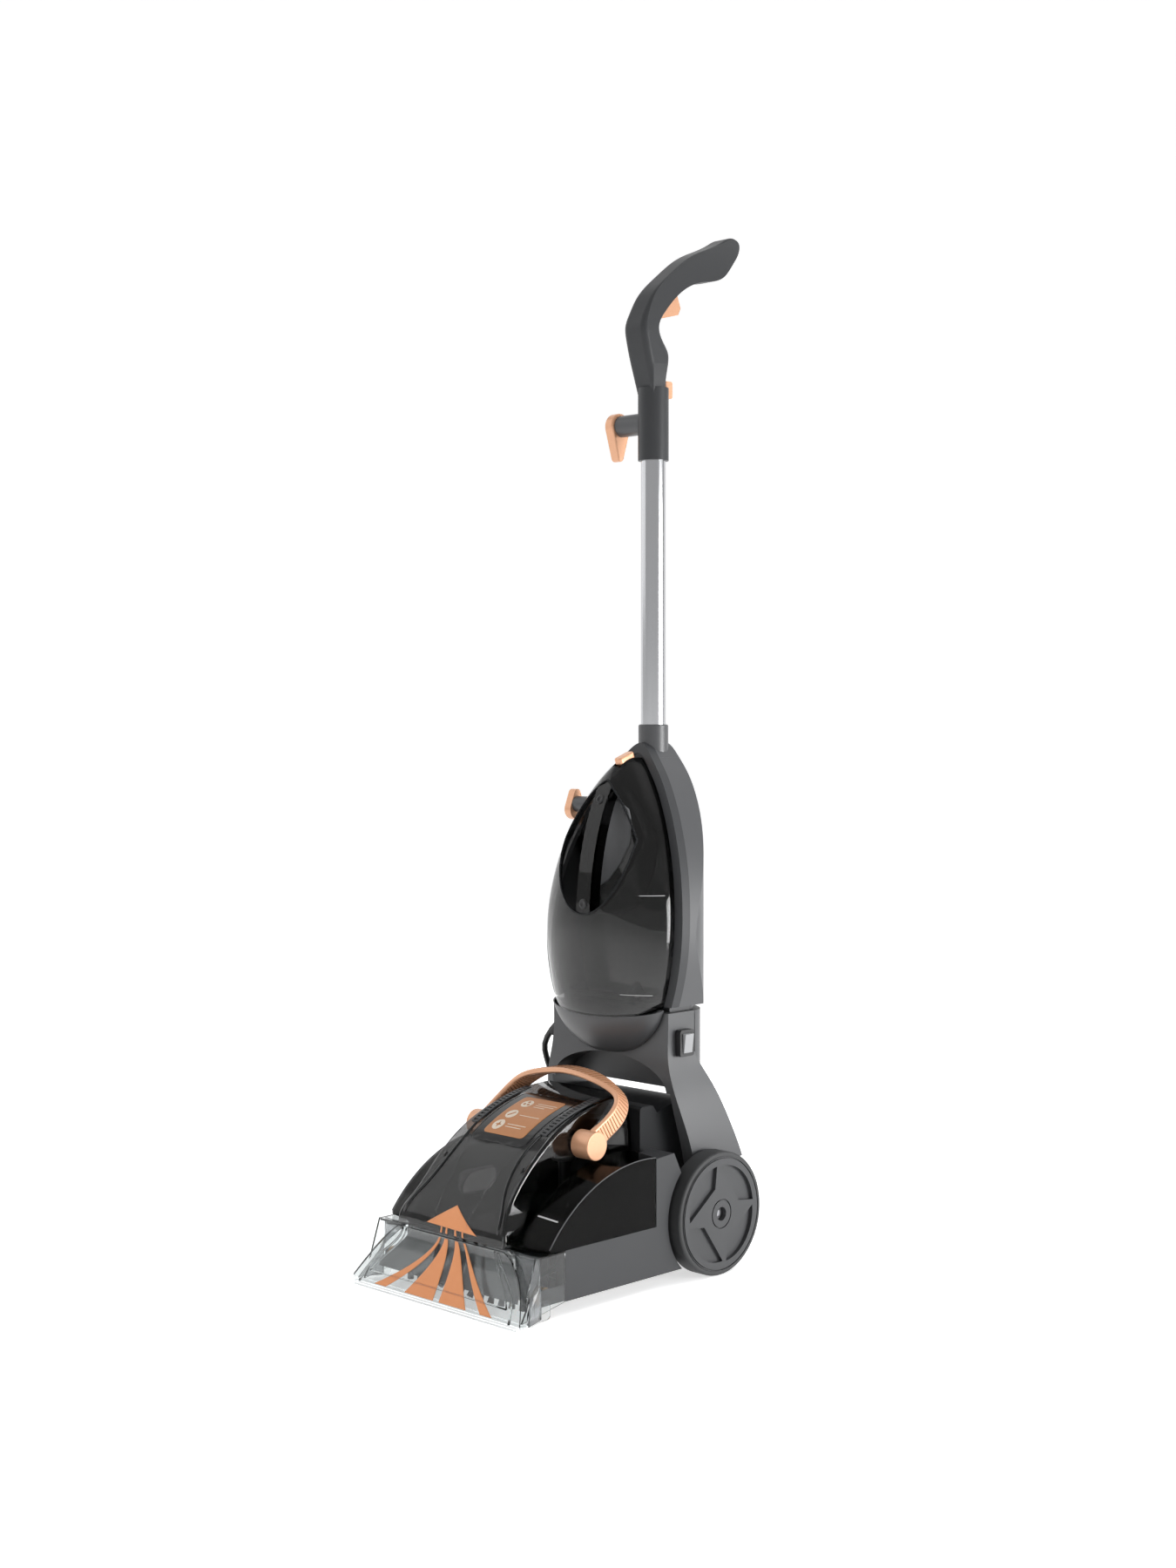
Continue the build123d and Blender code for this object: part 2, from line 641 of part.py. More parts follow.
with BuildPart() as brush_motor:
    with BuildSketch(side_plane(BRUSH_MOTOR_X[0])):
        with Locations((BRUSH_MOTOR_Y, BRUSH_MOTOR_Z)):
            Circle(BRUSH_MOTOR_R)
    extrude(amount=BRUSH_MOTOR_X[1] - BRUSH_MOTOR_X[0])
    with BuildSketch(Plane.XY.offset(BRUSH_MOTOR_Z)):
        with Locations(((BRUSH_MOTOR_X[0] + BRUSH_MOTOR_X[1]) / 2, BRUSH_MOTOR_Y)):
            Rectangle(BRUSH_MOTOR_R, 2 * BRUSH_MOTOR_R)
    extrude(amount=DECK_Z - WALL - RUN_GAP - BRUSH_MOTOR_Z)
    with BuildSketch(side_plane(BRUSH_MOTOR_X[1])):
        with Locations((BRUSH_MOTOR_Y, BRUSH_MOTOR_Z)):
            Circle(BRUSH_PIN_R + RUN_GAP)
    extrude(amount=-BRUSH_MOTOR_R, mode=Mode.SUBTRACT)
keep(brush_motor, "brush_motor")

with BuildPart() as motor_pulley:
    with BuildSketch(side_plane(BELT_X)):
        with Locations((BRUSH_MOTOR_Y, BRUSH_MOTOR_Z)):
            Circle(PULLEY_R)
    extrude(amount=BELT_W / 2 + SEAT_GAP, both=True)
    with BuildSketch(side_plane(BELT_X)):
        with Locations((BRUSH_MOTOR_Y, BRUSH_MOTOR_Z)):
            Circle(BRUSH_PIN_R)
    extrude(amount=-(BELT_X - BRUSH_MOTOR_X[1] + BRUSH_MOTOR_R / 2))
keep(motor_pulley, "motor_pulley")

BELT_RUN = hypot(BRUSH_MOTOR_Y - BRUSH_Y, BRUSH_MOTOR_Z - BRUSH_Z)
BELT_RISE = atan2(BRUSH_MOTOR_Z - BRUSH_Z, BRUSH_MOTOR_Y - BRUSH_Y)


def belt_loop(clear):
    big = BRUSH_PULLEY_R + clear
    small = PULLEY_R + clear
    lean = acos((big - small) / BELT_RUN)

    def at(y, z, r, turn):
        return (y + r * cos(BELT_RISE + turn), z + r * sin(BELT_RISE + turn))

    Line(at(BRUSH_Y, BRUSH_Z, big, lean), at(BRUSH_MOTOR_Y, BRUSH_MOTOR_Z, small, lean))
    ThreePointArc(
        at(BRUSH_MOTOR_Y, BRUSH_MOTOR_Z, small, lean), at(BRUSH_MOTOR_Y, BRUSH_MOTOR_Z, small, 0),
        at(BRUSH_MOTOR_Y, BRUSH_MOTOR_Z, small, -lean),
    )
    Line(at(BRUSH_MOTOR_Y, BRUSH_MOTOR_Z, small, -lean), at(BRUSH_Y, BRUSH_Z, big, -lean))
    ThreePointArc(
        at(BRUSH_Y, BRUSH_Z, big, -lean), at(BRUSH_Y, BRUSH_Z, big, pi), at(BRUSH_Y, BRUSH_Z, big, lean),
    )


with BuildPart() as drive_belt:
    with BuildSketch(side_plane(BELT_X)):
        with BuildLine():
            belt_loop(RUN_GAP + BELT_T)
        make_face()
        with BuildLine():
            belt_loop(RUN_GAP)
        make_face(mode=Mode.SUBTRACT)
    extrude(amount=BELT_W / 2, both=True)
keep(drive_belt, "drive_belt")

# Clear nozzle: a flared duct, a lip on the carpet and wings beside the brush
with BuildPart() as suction_nozzle:
    for level, half, front, depth in NOZZLE_LEVELS:
        with BuildSketch(Plane.XY.offset(level)):
            with Locations((0, front + depth / 2)):
                Rectangle(2 * half, depth)
    loft()
    with BuildSketch(Plane.XY):
        with Locations((0, LIP_FRONT_Y + LIP_DEPTH / 2)):
            RectangleRounded(2 * LIP_HALF, LIP_DEPTH, LIP_T)
    extrude(amount=LIP_T)
    for side in (1, -1):
        with BuildSketch(side_plane(side * (SKIRT_X - NOZZLE_WALL))):
            with BuildLine():
                Polyline(
                    (WING_FOOT_Y, LIP_T), (SKIRT_FRONT_Y - SEAT_GAP, SKIRT_BOTTOM),
                    (SKIRT_FRONT_Y - SEAT_GAP, NOZZLE_TOP_Z), (WING_TOP_Y, NOZZLE_TOP_Z),
                    (WING_FOOT_Y, LIP_T),
                )
            make_face()
        extrude(amount=side * NOZZLE_WALL)
    with BuildSketch(Plane.XY.offset(NOZZLE_TOP_Z - NOZZLE_WALL)):
        with Locations((0, (WING_TOP_Y + SKIRT_FRONT_Y - SEAT_GAP) / 2)):
            Rectangle(2 * SKIRT_X, SKIRT_FRONT_Y - SEAT_GAP - WING_TOP_Y)
    extrude(amount=NOZZLE_WALL)
    for level, half, front, depth in NOZZLE_LEVELS:
        with BuildSketch(Plane.XY.offset(level)):
            with Locations((0, front + depth / 2)):
                Rectangle(2 * (half - NOZZLE_WALL), depth - 2 * NOZZLE_WALL)
    loft(mode=Mode.SUBTRACT)
    with BuildSketch(Plane.XY):
        with Locations((0, NOZZLE_LEVELS[-1][2] + NOZZLE_LEVELS[-1][3] / 2)):
            Rectangle(2 * LIP_SLOT_HALF, NOZZLE_LEVELS[-1][3] - 2 * NOZZLE_WALL)
    extrude(amount=LIP_T, mode=Mode.SUBTRACT)
keep(suction_nozzle, "suction_nozzle")

# Recovery tank: a floor plate with a hollow lobe at each side
TANK_FLOOR_Z = DECK_Z + RUN_GAP
TANK_FLOOR_TOP = TANK_FLOOR_Z + TANK_FLOOR_T
FLOOR_FRONT_Y = NOZZLE_LEVELS[0][2] + NOZZLE_LEVELS[0][3] + SIDE_ROOM
LOBE_WINDOW_Y = -90.0
LOBE_WINDOW_Z = 92.0


def lobe_outline(arc, bottom):
    front, middle, rear = arc
    ThreePointArc(front, middle, rear)
    Polyline(rear, (rear[0], bottom), (front[0], bottom), front)


def inset_arc(arc, amount):
    front, middle, rear = arc
    slope = atan2(rear[1] - front[1], rear[0] - front[0])
    return (
        (front[0] + 2 * amount, front[1] + amount / 2),
        (middle[0] + amount * sin(slope), middle[1] - amount * cos(slope)),
        (rear[0] - amount, rear[1] - amount),
    )


with BuildPart() as recovery_tank:
    for side in (1, -1):
        for x, arc in ((LOBE_IN_X, LOBE_INNER), (SKIRT_X, LOBE_OUTER)):
            with BuildSketch(side_plane(side * x)):
                with BuildLine():
                    lobe_outline(arc, TANK_FLOOR_Z)
                make_face()
        loft()
        for x, arc in ((LOBE_IN_X + WALL, LOBE_INNER), (SKIRT_X - WALL, LOBE_OUTER)):
            with BuildSketch(side_plane(side * x)):
                with BuildLine():
                    lobe_outline(inset_arc(arc, WALL), TANK_FLOOR_TOP)
                make_face()
        loft(mode=Mode.SUBTRACT)
        with BuildSketch(side_plane(side * LOBE_IN_X)):
            with Locations((LOBE_WINDOW_Y, LOBE_WINDOW_Z)):
                SlotOverall(SKIRT_X / 2, FLOAT_H)
        extrude(amount=side * 2 * WALL, mode=Mode.SUBTRACT)
    with BuildSketch(Plane.XY.offset(TANK_FLOOR_Z)):
        with Locations((0, (FLOOR_FRONT_Y + HOOD_REAR_Y) / 2)):
            Rectangle(2 * HOOD_FLANK[0][0], HOOD_REAR_Y - FLOOR_FRONT_Y)
        with Locations((0, (LOBE_OUTER[0][0] + LOBE_REAR_Y) / 2)):
            Rectangle(2 * (LOBE_IN_X + WALL), LOBE_REAR_Y - LOBE_OUTER[0][0])
    extrude(amount=TANK_FLOOR_T)
keep(recovery_tank, "recovery_tank")

# Smoked hood over the middle of the tank, from the nozzle to the suction port
HOOD_BOTTOM = HOOD_RIDGE[0][1]
HOOD_REACH = SKIRT_X


def shifted(points, amount):
    moved = []
    last = len(points) - 1
    for i, (a, b) in enumerate(points):
        before = points[max(i - 1, 0)]
        after = points[min(i + 1, last)]
        run = hypot(after[0] - before[0], after[1] - before[1])
        moved.append((a + amount * (after[1] - before[1]) / run, b - amount * (after[0] - before[0]) / run))
    return moved


def hood_solid(inset, rear, bottom):
    ridge = shifted(HOOD_RIDGE, inset)
    flank = shifted(HOOD_FLANK, -inset)
    with BuildPart() as hood:
        with BuildSketch(side_plane()):
            with BuildLine():
                Spline(*ridge)
                Polyline(ridge[-1], (ridge[-1][0], DECK_Z), (ridge[0][0], DECK_Z), ridge[0])
            make_face()
        extrude(amount=HOOD_REACH, both=True)
        with BuildSketch(front_plane()):
            with BuildLine():
                Spline(*flank)
                Line(flank[-1], (-flank[-1][0], flank[-1][1]))
                Spline(*[(-x, z) for x, z in flank])
                Polyline((-flank[0][0], flank[0][1]), (-flank[0][0], DECK_Z), (flank[0][0], DECK_Z), flank[0])
            make_face()
        extrude(amount=-2 * HOOD_RIDGE[0][0], both=True, mode=Mode.INTERSECT)
        split(bisect_by=front_plane(rear), keep=Keep.TOP)
        split(bisect_by=Plane.XY.offset(bottom), keep=Keep.TOP)
    return hood.part


with BuildPart() as tank_hood:
    add(hood_solid(0, HOOD_REAR_Y, HOOD_BOTTOM))
    flank_edges = tank_hood.edges().filter_by(GeomType.BSPLINE).filter_by_position(Axis.Z, *HOOD_EDGE_SPAN)
    fillet(flank_edges.group_by(SortBy.LENGTH)[-1], HOOD_EDGE_R)
    add(hood_solid(HOOD_WALL, HOOD_REAR_Y - HOOD_WALL, DECK_Z + RUN_GAP), mode=Mode.SUBTRACT)
    with BuildSketch(front_plane(HOOD_REAR_Y)):
        with Locations((0, PORT_Z)):
            SlotOverall(PORT_W, PORT_H)
    extrude(amount=2 * HOOD_WALL, mode=Mode.SUBTRACT)
    with BuildSketch(side_plane()):
        with Locations((CARRY_PIVOT_Y, CARRY_PIVOT_Z)):
            Circle(CARRY_PIN_R + RUN_GAP)
        with Locations((LOBE_WINDOW_Y, LOBE_WINDOW_Z)):
            SlotOverall(SKIRT_X / 2, FLOAT_H)
    extrude(amount=HOOD_REACH, both=True, mode=Mode.SUBTRACT)
keep(tank_hood, "tank_hood")

with BuildPart() as port_seal:
    with BuildSketch(front_plane(HOOD_REAR_Y + RUN_GAP)):
        with Locations((0, PORT_Z)):
            SlotOverall(PORT_W + 4 * WALL, PORT_H + 4 * WALL)
            SlotOverall(PORT_W, PORT_H, mode=Mode.SUBTRACT)
    extrude(amount=-(TOWER_FRONT_Y - HOOD_REAR_Y - SEAT_GAP))
keep(port_seal, "port_seal")

with BuildPart() as hood_vents:
    with BuildSketch(side_plane(VENT_X - VENT_W / 2)):
        with BuildLine():
            lower = Spline(*shifted(HOOD_RIDGE, -RUN_GAP))
            upper = Spline(*shifted(HOOD_RIDGE, -VENT_T))
            Line(lower @ 0, upper @ 0)
            Line(lower @ 1, upper @ 1)
        make_face()
    extrude(amount=VENT_W)
    split(bisect_by=front_plane(VENT_SPAN_Y[0]), keep=Keep.BOTTOM)
    split(bisect_by=front_plane(VENT_SPAN_Y[1]), keep=Keep.TOP)
    with BuildSketch(Plane.XY.offset(HOOD_RIDGE[-1][1])):
        with Locations((VENT_X, (VENT_SPAN_Y[0] + VENT_SPAN_Y[1]) / 2)):
            with GridLocations(0, (VENT_SPAN_Y[1] - VENT_SPAN_Y[0]) / VENT_SLOTS, 1, VENT_SLOTS):
                Rectangle(*VENT_SLOT)
    extrude(amount=-HOOD_RIDGE[-1][1], mode=Mode.SUBTRACT)
    mirror(about=Plane.YZ)
keep(hood_vents, "hood_vents")

FLOAT_STEM_TOP = FLOAT_Z + FLOAT_H + FLOAT_TRAVEL + 2 * SIDE_ROOM

with BuildPart() as float_guide:
    with BuildSketch(Plane.XY.offset(TANK_FLOOR_TOP + RUN_GAP)):
        with Locations((0, FLOAT_Y)):
            Circle(2 * FLOAT_STEM_R)
    extrude(amount=FLOAT_Z - TANK_FLOOR_TOP - 2 * RUN_GAP)
    with BuildSketch(Plane.XY.offset(FLOAT_Z - WALL)):
        with Locations((0, FLOAT_Y)):
            Circle(FLOAT_STEM_R)
    extrude(amount=FLOAT_STEM_TOP - FLOAT_Z + WALL)
keep(float_guide, "float_guide")

with BuildPart() as tank_float:
    with BuildSketch(Plane.XY.offset(FLOAT_Z)):
        with Locations((0, FLOAT_Y)):
            Circle(FLOAT_R)
    extrude(amount=FLOAT_H)
    fillet(tank_float.edges(), WALL)
    with BuildSketch(Plane.XY.offset(FLOAT_Z)):
        with Locations((0, FLOAT_Y)):
            Circle(FLOAT_STEM_R + RUN_GAP)
    extrude(amount=FLOAT_H, mode=Mode.SUBTRACT)
keep(tank_float, "tank_float")

# Carry handle: a twisted strap between two pivot bosses
PIN_HEAD_R = 7.0
PIN_HEAD_OUT = HOOD_FLANK[4][0] - HOOD_WALL - 2 * SEAT_GAP


STRAP_LINE = Spline(*[(-x, y, z) for x, y, z in reversed(STRAP_PATH[1:])], *STRAP_PATH)


# The strap lies level at its crown and turns its flat side outward along each arm
def strap_plane(share):
    arm = 2 * share - 1
    ease = min(1.0, max(0.0, (abs(arm) - TWIST_SPAN[0]) / (TWIST_SPAN[1] - TWIST_SPAN[0])))
    twist = radians(STRAP_TWIST * (3 - 2 * ease) * ease ** 2)
    heading = STRAP_LINE % share
    across = Vector(0, cos(twist), -sin(twist))
    return Plane(origin=STRAP_LINE @ share, x_dir=across - heading * across.dot(heading), z_dir=heading)


with BuildPart() as carry_handle:
    for station in range(STRAP_STATIONS + 1):
        with BuildSketch(strap_plane(station / STRAP_STATIONS)):
            RectangleRounded(STRAP_W, STRAP_T, STRAP_T / 3)
    loft()
    for side in (1, -1):
        with BuildSketch(side_plane(side * CARRY_BOSS_X[0])):
            with Locations((CARRY_PIVOT_Y, CARRY_PIVOT_Z)):
                Circle(CARRY_BOSS_R)
        extrude(amount=side * (CARRY_BOSS_X[1] - CARRY_BOSS_X[0]))
    with BuildSketch(side_plane()):
        with Locations((CARRY_PIVOT_Y, CARRY_PIVOT_Z)):
            Circle(CARRY_PIN_R + RUN_GAP)
    extrude(amount=CARRY_BOSS_X[1], both=True, mode=Mode.SUBTRACT)
keep(carry_handle, "carry_handle")

with BuildPart() as carry_caps:
    with BuildSketch(side_plane(CARRY_BOSS_X[1] + RUN_GAP)):
        with Locations((CARRY_PIVOT_Y, CARRY_PIVOT_Z)):
            Circle(CARRY_BOSS_R)
    extrude(amount=CARRY_CAP_X - CARRY_BOSS_X[1] - RUN_GAP)
    fillet(carry_caps.faces().sort_by(Axis.X)[-1].edges(), RUN_GAP + 1)
    mirror(about=Plane.YZ)
keep(carry_caps, "carry_caps")

with BuildPart() as carry_pins:
    with BuildSketch(side_plane(PIN_HEAD_OUT)):
        with Locations((CARRY_PIVOT_Y, CARRY_PIVOT_Z)):
            Circle(PIN_HEAD_R)
    extrude(amount=-WALL)
    with BuildSketch(side_plane(PIN_HEAD_OUT)):
        with Locations((CARRY_PIVOT_Y, CARRY_PIVOT_Z)):
            Circle(CARRY_PIN_R)
    extrude(amount=CARRY_BOSS_X[1] - SEAT_GAP - PIN_HEAD_OUT)
    mirror(about=Plane.YZ)
keep(carry_pins, "carry_pins")

# Outline of the upper housing at any height


def arch_half(z, inset=0.0):
    half = BODY_HALF - inset
    if z <= BODY_WIDE_Z:
        return half - BODY_TUCK * (BODY_WIDE_Z - z) ** 2
    share = (z - BODY_WIDE_Z) / (BODY_APEX - inset - BODY_WIDE_Z)
    return half * max(0.0, 1 - share ** 2) ** BODY_POWER


def front_y(z):
    return FRONT_Y + LEAN * max(0.0, (z - LEAN_START_Z) / (BODY_APEX - LEAN_START_Z)) ** 2


def arch_slab(inset, bottom, near, far):
    apex = BODY_APEX - inset
    levels = [bottom + (apex - bottom) * step for step in ARCH_STEPS]
    right = [(arch_half(z, inset), z) for z in levels]
    with BuildPart() as slab:
        with BuildSketch(front_plane(near)):
            with BuildLine():
                Spline(*right, (0, apex), *[(-x, z) for x, z in reversed(right)])
                Line((-right[0][0], bottom), right[0])
            make_face()
        extrude(amount=near - far)
    return slab.part


def lean_room(offset):
    low = BLOCK_TOP
    high = BODY_APEX + BAND
    levels = [low + (high - low) * step / LEAN_STEPS for step in range(LEAN_STEPS + 1)]
    edge = [(front_y(z) + offset, z) for z in levels]
    with BuildPart() as room:
        with BuildSketch(side_plane()):
            with BuildLine():
                Spline(*edge)
                Polyline(edge[-1], (2 * BODY_REAR_Y, high), (2 * BODY_REAR_Y, low), edge[0])
            make_face()
        extrude(amount=2 * BODY_HALF, both=True)
    return room.part


def housing(inset, bottom):
    half = BODY_HALF + 1 - inset
    with BuildPart() as body:
        add(arch_slab(inset, bottom, -BODY_HALF, 2 * BODY_HALF))
        add(lean_room(0), mode=Mode.INTERSECT)
        with BuildSketch(Plane.XY.offset(bottom)):
            with Locations((0, BODY_SIDE_Y)):
                Ellipse(half, BODY_REAR_Y - inset - BODY_SIDE_Y)
            with Locations((0, 0)):
                Rectangle(2 * half, 2 * BODY_SIDE_Y)
        extrude(amount=BODY_APEX, mode=Mode.INTERSECT)
    return body.part


BODY_BLANK = housing(0, BODY_BOTTOM)
TUBE_SEAT = TUBE_BOTTOM - 2 * WALL

with BuildPart() as rear_shell:
    add(BODY_BLANK)
    add(housing(SHELL, BODY_BOTTOM + SHELL), mode=Mode.SUBTRACT)
    add(lean_room(BAND + RUN_GAP), mode=Mode.INTERSECT)
    split(bisect_by=Plane.XY.offset(PARTING_Z), keep=Keep.BOTTOM)
    with BuildSketch(Plane.XY.offset(TUBE_SEAT)):
        with Locations((0, TUBE_Y)):
            Circle(TUBE_D / 2 + SHELL + TUBE_WALL)
    extrude(amount=TUBE_BOTTOM + 2 * TUBE_D - TUBE_SEAT)
    with BuildSketch(Plane.XY.offset(TUBE_SEAT)):
        with Locations((0, TUBE_Y)):
            Circle(TUBE_D / 2 - TUBE_WALL)
    extrude(amount=TUBE_D, mode=Mode.SUBTRACT)
    with BuildSketch(Plane.XY.offset(TUBE_BOTTOM)):
        with Locations((0, TUBE_Y)):
            Circle(TUBE_D / 2 + RUN_GAP)
    extrude(amount=PARTING_Z, mode=Mode.SUBTRACT)
    with BuildSketch(Plane.XY.offset(BODY_BOTTOM)):
        with Locations((0, TUBE_Y)):
            SlotOverall(2 * TUBE_D, TUBE_D / 2)
    extrude(amount=SHELL, mode=Mode.SUBTRACT)
    add(arch_slab(RIM, BLOCK_TOP, -BODY_HALF, CRADLE_Y), mode=Mode.SUBTRACT)
keep(rear_shell, "rear_shell")

with BuildPart() as band_room:
    add(arch_slab(-SEAT_GAP, BODY_BOTTOM, -BODY_HALF, 2 * BODY_HALF))
    add(lean_room(BAND + RUN_GAP), mode=Mode.SUBTRACT)

with BuildPart() as neck_collar:
    add(BODY_BLANK)
    split(bisect_by=Plane.XY.offset(PARTING_Z + RUN_GAP), keep=Keep.TOP)
    with BuildSketch(Plane.XY.offset(PARTING_Z + RUN_GAP)):
        with Locations((0, TUBE_Y)):
            Circle(COLLAR_R)
    extrude(amount=COLLAR_TOP - PARTING_Z)
    add(band_room.part, mode=Mode.SUBTRACT)
    chamfer(neck_collar.edges().group_by(Axis.Z)[-1], WALL / 2)
    with BuildSketch(Plane.XY.offset(PARTING_Z)):
        with Locations((0, TUBE_Y)):
            Circle(TUBE_D / 2 + RUN_GAP)
    extrude(amount=COLLAR_TOP, mode=Mode.SUBTRACT)
keep(neck_collar, "neck_collar")

with BuildPart() as cradle:
    add(arch_slab(RIM - WALL, BODY_BOTTOM + SHELL + RUN_GAP, -BODY_HALF, CRADLE_Y + WALL))
    add(housing(SHELL + RUN_GAP, BODY_BOTTOM + SHELL + RUN_GAP), mode=Mode.INTERSECT)

with BuildPart() as front_frame:
    add(BODY_BLANK)
    add(lean_room(BAND), mode=Mode.SUBTRACT)
    add(cradle.part)
    add(lean_room(0), mode=Mode.INTERSECT)
    add(arch_slab(RIM, BLOCK_TOP, -BODY_HALF, CRADLE_Y), mode=Mode.SUBTRACT)
    with BuildSketch(Plane.XY.offset(TUBE_BOTTOM)):
        with Locations((0, TUBE_Y)):
            Circle(TUBE_D / 2 + RUN_GAP)
    extrude(amount=BODY_APEX - TUBE_BOTTOM, mode=Mode.SUBTRACT)
keep(front_frame, "front_frame")

# Lower body with the legs, the saddle between them and the lugs on the axle
with BuildPart() as lower_body:
    with BuildSketch(side_plane()):
        with BuildLine():
            Spline(*LEG_FRONT)
            Line(LEG_FRONT[-1], LEG_REAR[-1])
            Spline(*LEG_REAR)
            Line(LEG_REAR[0], LEG_FRONT[0])
        make_face()
    extrude(amount=2 * BODY_HALF, both=True)
    with BuildSketch(front_plane()):
        with BuildLine():
            Spline(*LEG_FLANK)
            Line(LEG_FLANK[-1], (-LEG_FLANK[-1][0], LEG_FLANK[-1][1]))
            Spline(*[(-x, z) for x, z in LEG_FLANK])
            Line((-LEG_FLANK[0][0], LEG_FLANK[0][1]), LEG_FLANK[0])
        make_face()
    extrude(amount=2 * BODY_HALF, both=True, mode=Mode.INTERSECT)
    with BuildSketch(front_plane()):
        with Locations((0, (LEG_BOTTOM + BLOCK_BOTTOM) / 2)):
            Rectangle(2 * LEG_IN_X, BLOCK_BOTTOM - LEG_BOTTOM)
    extrude(amount=2 * BODY_HALF, both=True, mode=Mode.SUBTRACT)
    with BuildSketch(Plane.XY.offset(BLOCK_BOTTOM)):
        with Locations((0, (BLOCK_SPLIT_Y + 2 * BLOCK_REAR_Y) / 2)):
            Rectangle(2 * BLOCK_HALF, 2 * BLOCK_REAR_Y - BLOCK_SPLIT_Y)
    extrude(amount=BLOCK_TOP, mode=Mode.SUBTRACT)
    with BuildSketch(front_plane(SADDLE_Y)):
        with BuildLine():
            arc = EllipticalCenterArc((0, BLOCK_BOTTOM), SADDLE_HALF, SADDLE_RISE, 0, arc_size=180)
            Polyline(arc @ 1, (-SADDLE_HALF, LEG_BOTTOM), (SADDLE_HALF, LEG_BOTTOM), arc @ 0)
        make_face()
    extrude(amount=2 * BODY_HALF, mode=Mode.SUBTRACT)
    with BuildSketch(Plane.XY.offset(BLOCK_TOP)):
        with Locations((0, (FRONT_Y + NECK_INSET + BLOCK_SPLIT_Y) / 2)):
            Rectangle(2 * (BLOCK_HALF - NECK_INSET), BLOCK_SPLIT_Y - FRONT_Y - NECK_INSET)
    extrude(amount=BODY_BOTTOM - BLOCK_TOP)
    with BuildSketch(front_plane(BLOCK_SPLIT_Y)):
        with Locations((0, (BLOCK_BOTTOM + SADDLE_RISE + BLOCK_TOP) / 2)):
            Rectangle(2 * (BLOCK_HALF - 2 * SHELL), BLOCK_TOP - BLOCK_BOTTOM - SADDLE_RISE - 2 * SHELL)
    extrude(amount=BLOCK_SPLIT_Y - FRONT_Y - NECK_INSET, mode=Mode.SUBTRACT)
    with BuildSketch(Plane.XY.offset(BODY_BOTTOM)):
        with Locations((VALVE_X, VALVE_Y)):
            Circle(VALVE_R)
    extrude(amount=-4 * SHELL, mode=Mode.SUBTRACT)
    for side in (1, -1):
        with BuildSketch(side_plane(side * LEG_IN_X)):
            with BuildLine():
                Polyline(
                    LEG_FRONT[-1], LEG_REAR[-1], (AXLE_Y + LUG_R, AXLE_Z), (AXLE_Y - LUG_R, AXLE_Z),
                    LEG_FRONT[-1],
                )
            make_face()
            with Locations((AXLE_Y, AXLE_Z)):
                Circle(LUG_R)
        extrude(amount=side * (LUG_OUT_X - LEG_IN_X))
    with BuildSketch(side_plane()):
        with Locations((AXLE_Y, AXLE_Z)):
            Circle(AXLE_D / 2 + RUN_GAP)
    extrude(amount=SKIRT_X, both=True, mode=Mode.SUBTRACT)
    with BuildSketch(side_plane(BLOCK_HALF)):
        with Locations((SWITCH_Y, SWITCH_Z)):
            Rectangle(ROCKER_W + 2 * SHELL, ROCKER_H + 2 * SHELL)
    extrude(amount=-4 * SHELL, mode=Mode.SUBTRACT)
keep(lower_body, "lower_body")


def cover_plan(inset):
    with Locations((0, BLOCK_SPLIT_Y)):
        Ellipse(BLOCK_HALF - inset, BLOCK_REAR_Y - BLOCK_SPLIT_Y - inset)
    with Locations((0, 0)):
        Rectangle(4 * BLOCK_HALF, 2 * (BLOCK_SPLIT_Y + RUN_GAP), mode=Mode.SUBTRACT)


with BuildPart() as rear_cover:
    with BuildSketch(Plane.XY.offset(BLOCK_BOTTOM)):
        cover_plan(0)
    extrude(amount=BLOCK_TOP - BLOCK_BOTTOM)
    with BuildSketch(Plane.XY.offset(BLOCK_TOP)):
        cover_plan(NECK_INSET)
    extrude(amount=BODY_BOTTOM - BLOCK_TOP)
    with BuildSketch(Plane.XY.offset(BLOCK_BOTTOM + SHELL)):
        cover_plan(SHELL)
    extrude(amount=BLOCK_TOP - BLOCK_BOTTOM - 2 * SHELL, mode=Mode.SUBTRACT)
    with BuildSketch(Plane.XY.offset(BLOCK_TOP - SHELL)):
        with Locations((0, TUBE_Y - NECK_INSET)):
            SlotOverall(TUBE_D, TUBE_D / 2)
    extrude(amount=BODY_BOTTOM - BLOCK_TOP + SHELL, mode=Mode.SUBTRACT)
keep(rear_cover, "rear_cover")

# Bowl under the tank and the tank itself share one sloping plane


def floor_plane(lift):
    return Plane(origin=(0, TILT_Y, TILT_Z + lift), x_dir=(1, 0, 0), z_dir=(0, -TANK_FLOOR_SLOPE, 1))


def bowl_blank(inset):
    with BuildPart() as bowl:
        for level, half, depth in BOWL_LEVELS:
            with BuildSketch(Plane.XY.offset(level + inset)):
                with BuildLine():
                    back = (0, BOWL_BACK_Y - inset)
                    arc = EllipticalCenterArc(back, half - inset, depth - inset, 180, arc_size=180)
                    Line(arc @ 1, arc @ 0)
                make_face()
        loft()
    return bowl.part


with BuildPart() as tank_bowl:
    add(bowl_blank(0))
    add(bowl_blank(WALL), mode=Mode.SUBTRACT)
    split(bisect_by=floor_plane(-SEAT_GAP), keep=Keep.BOTTOM)
keep(tank_bowl, "tank_bowl")


def egg_front(z):
    share = (z - EGG_Z) / (EGG_UP if z > EGG_Z else EGG_DOWN)
    return EGG_Y - EGG_DEPTH * sqrt(1 - share ** 2)


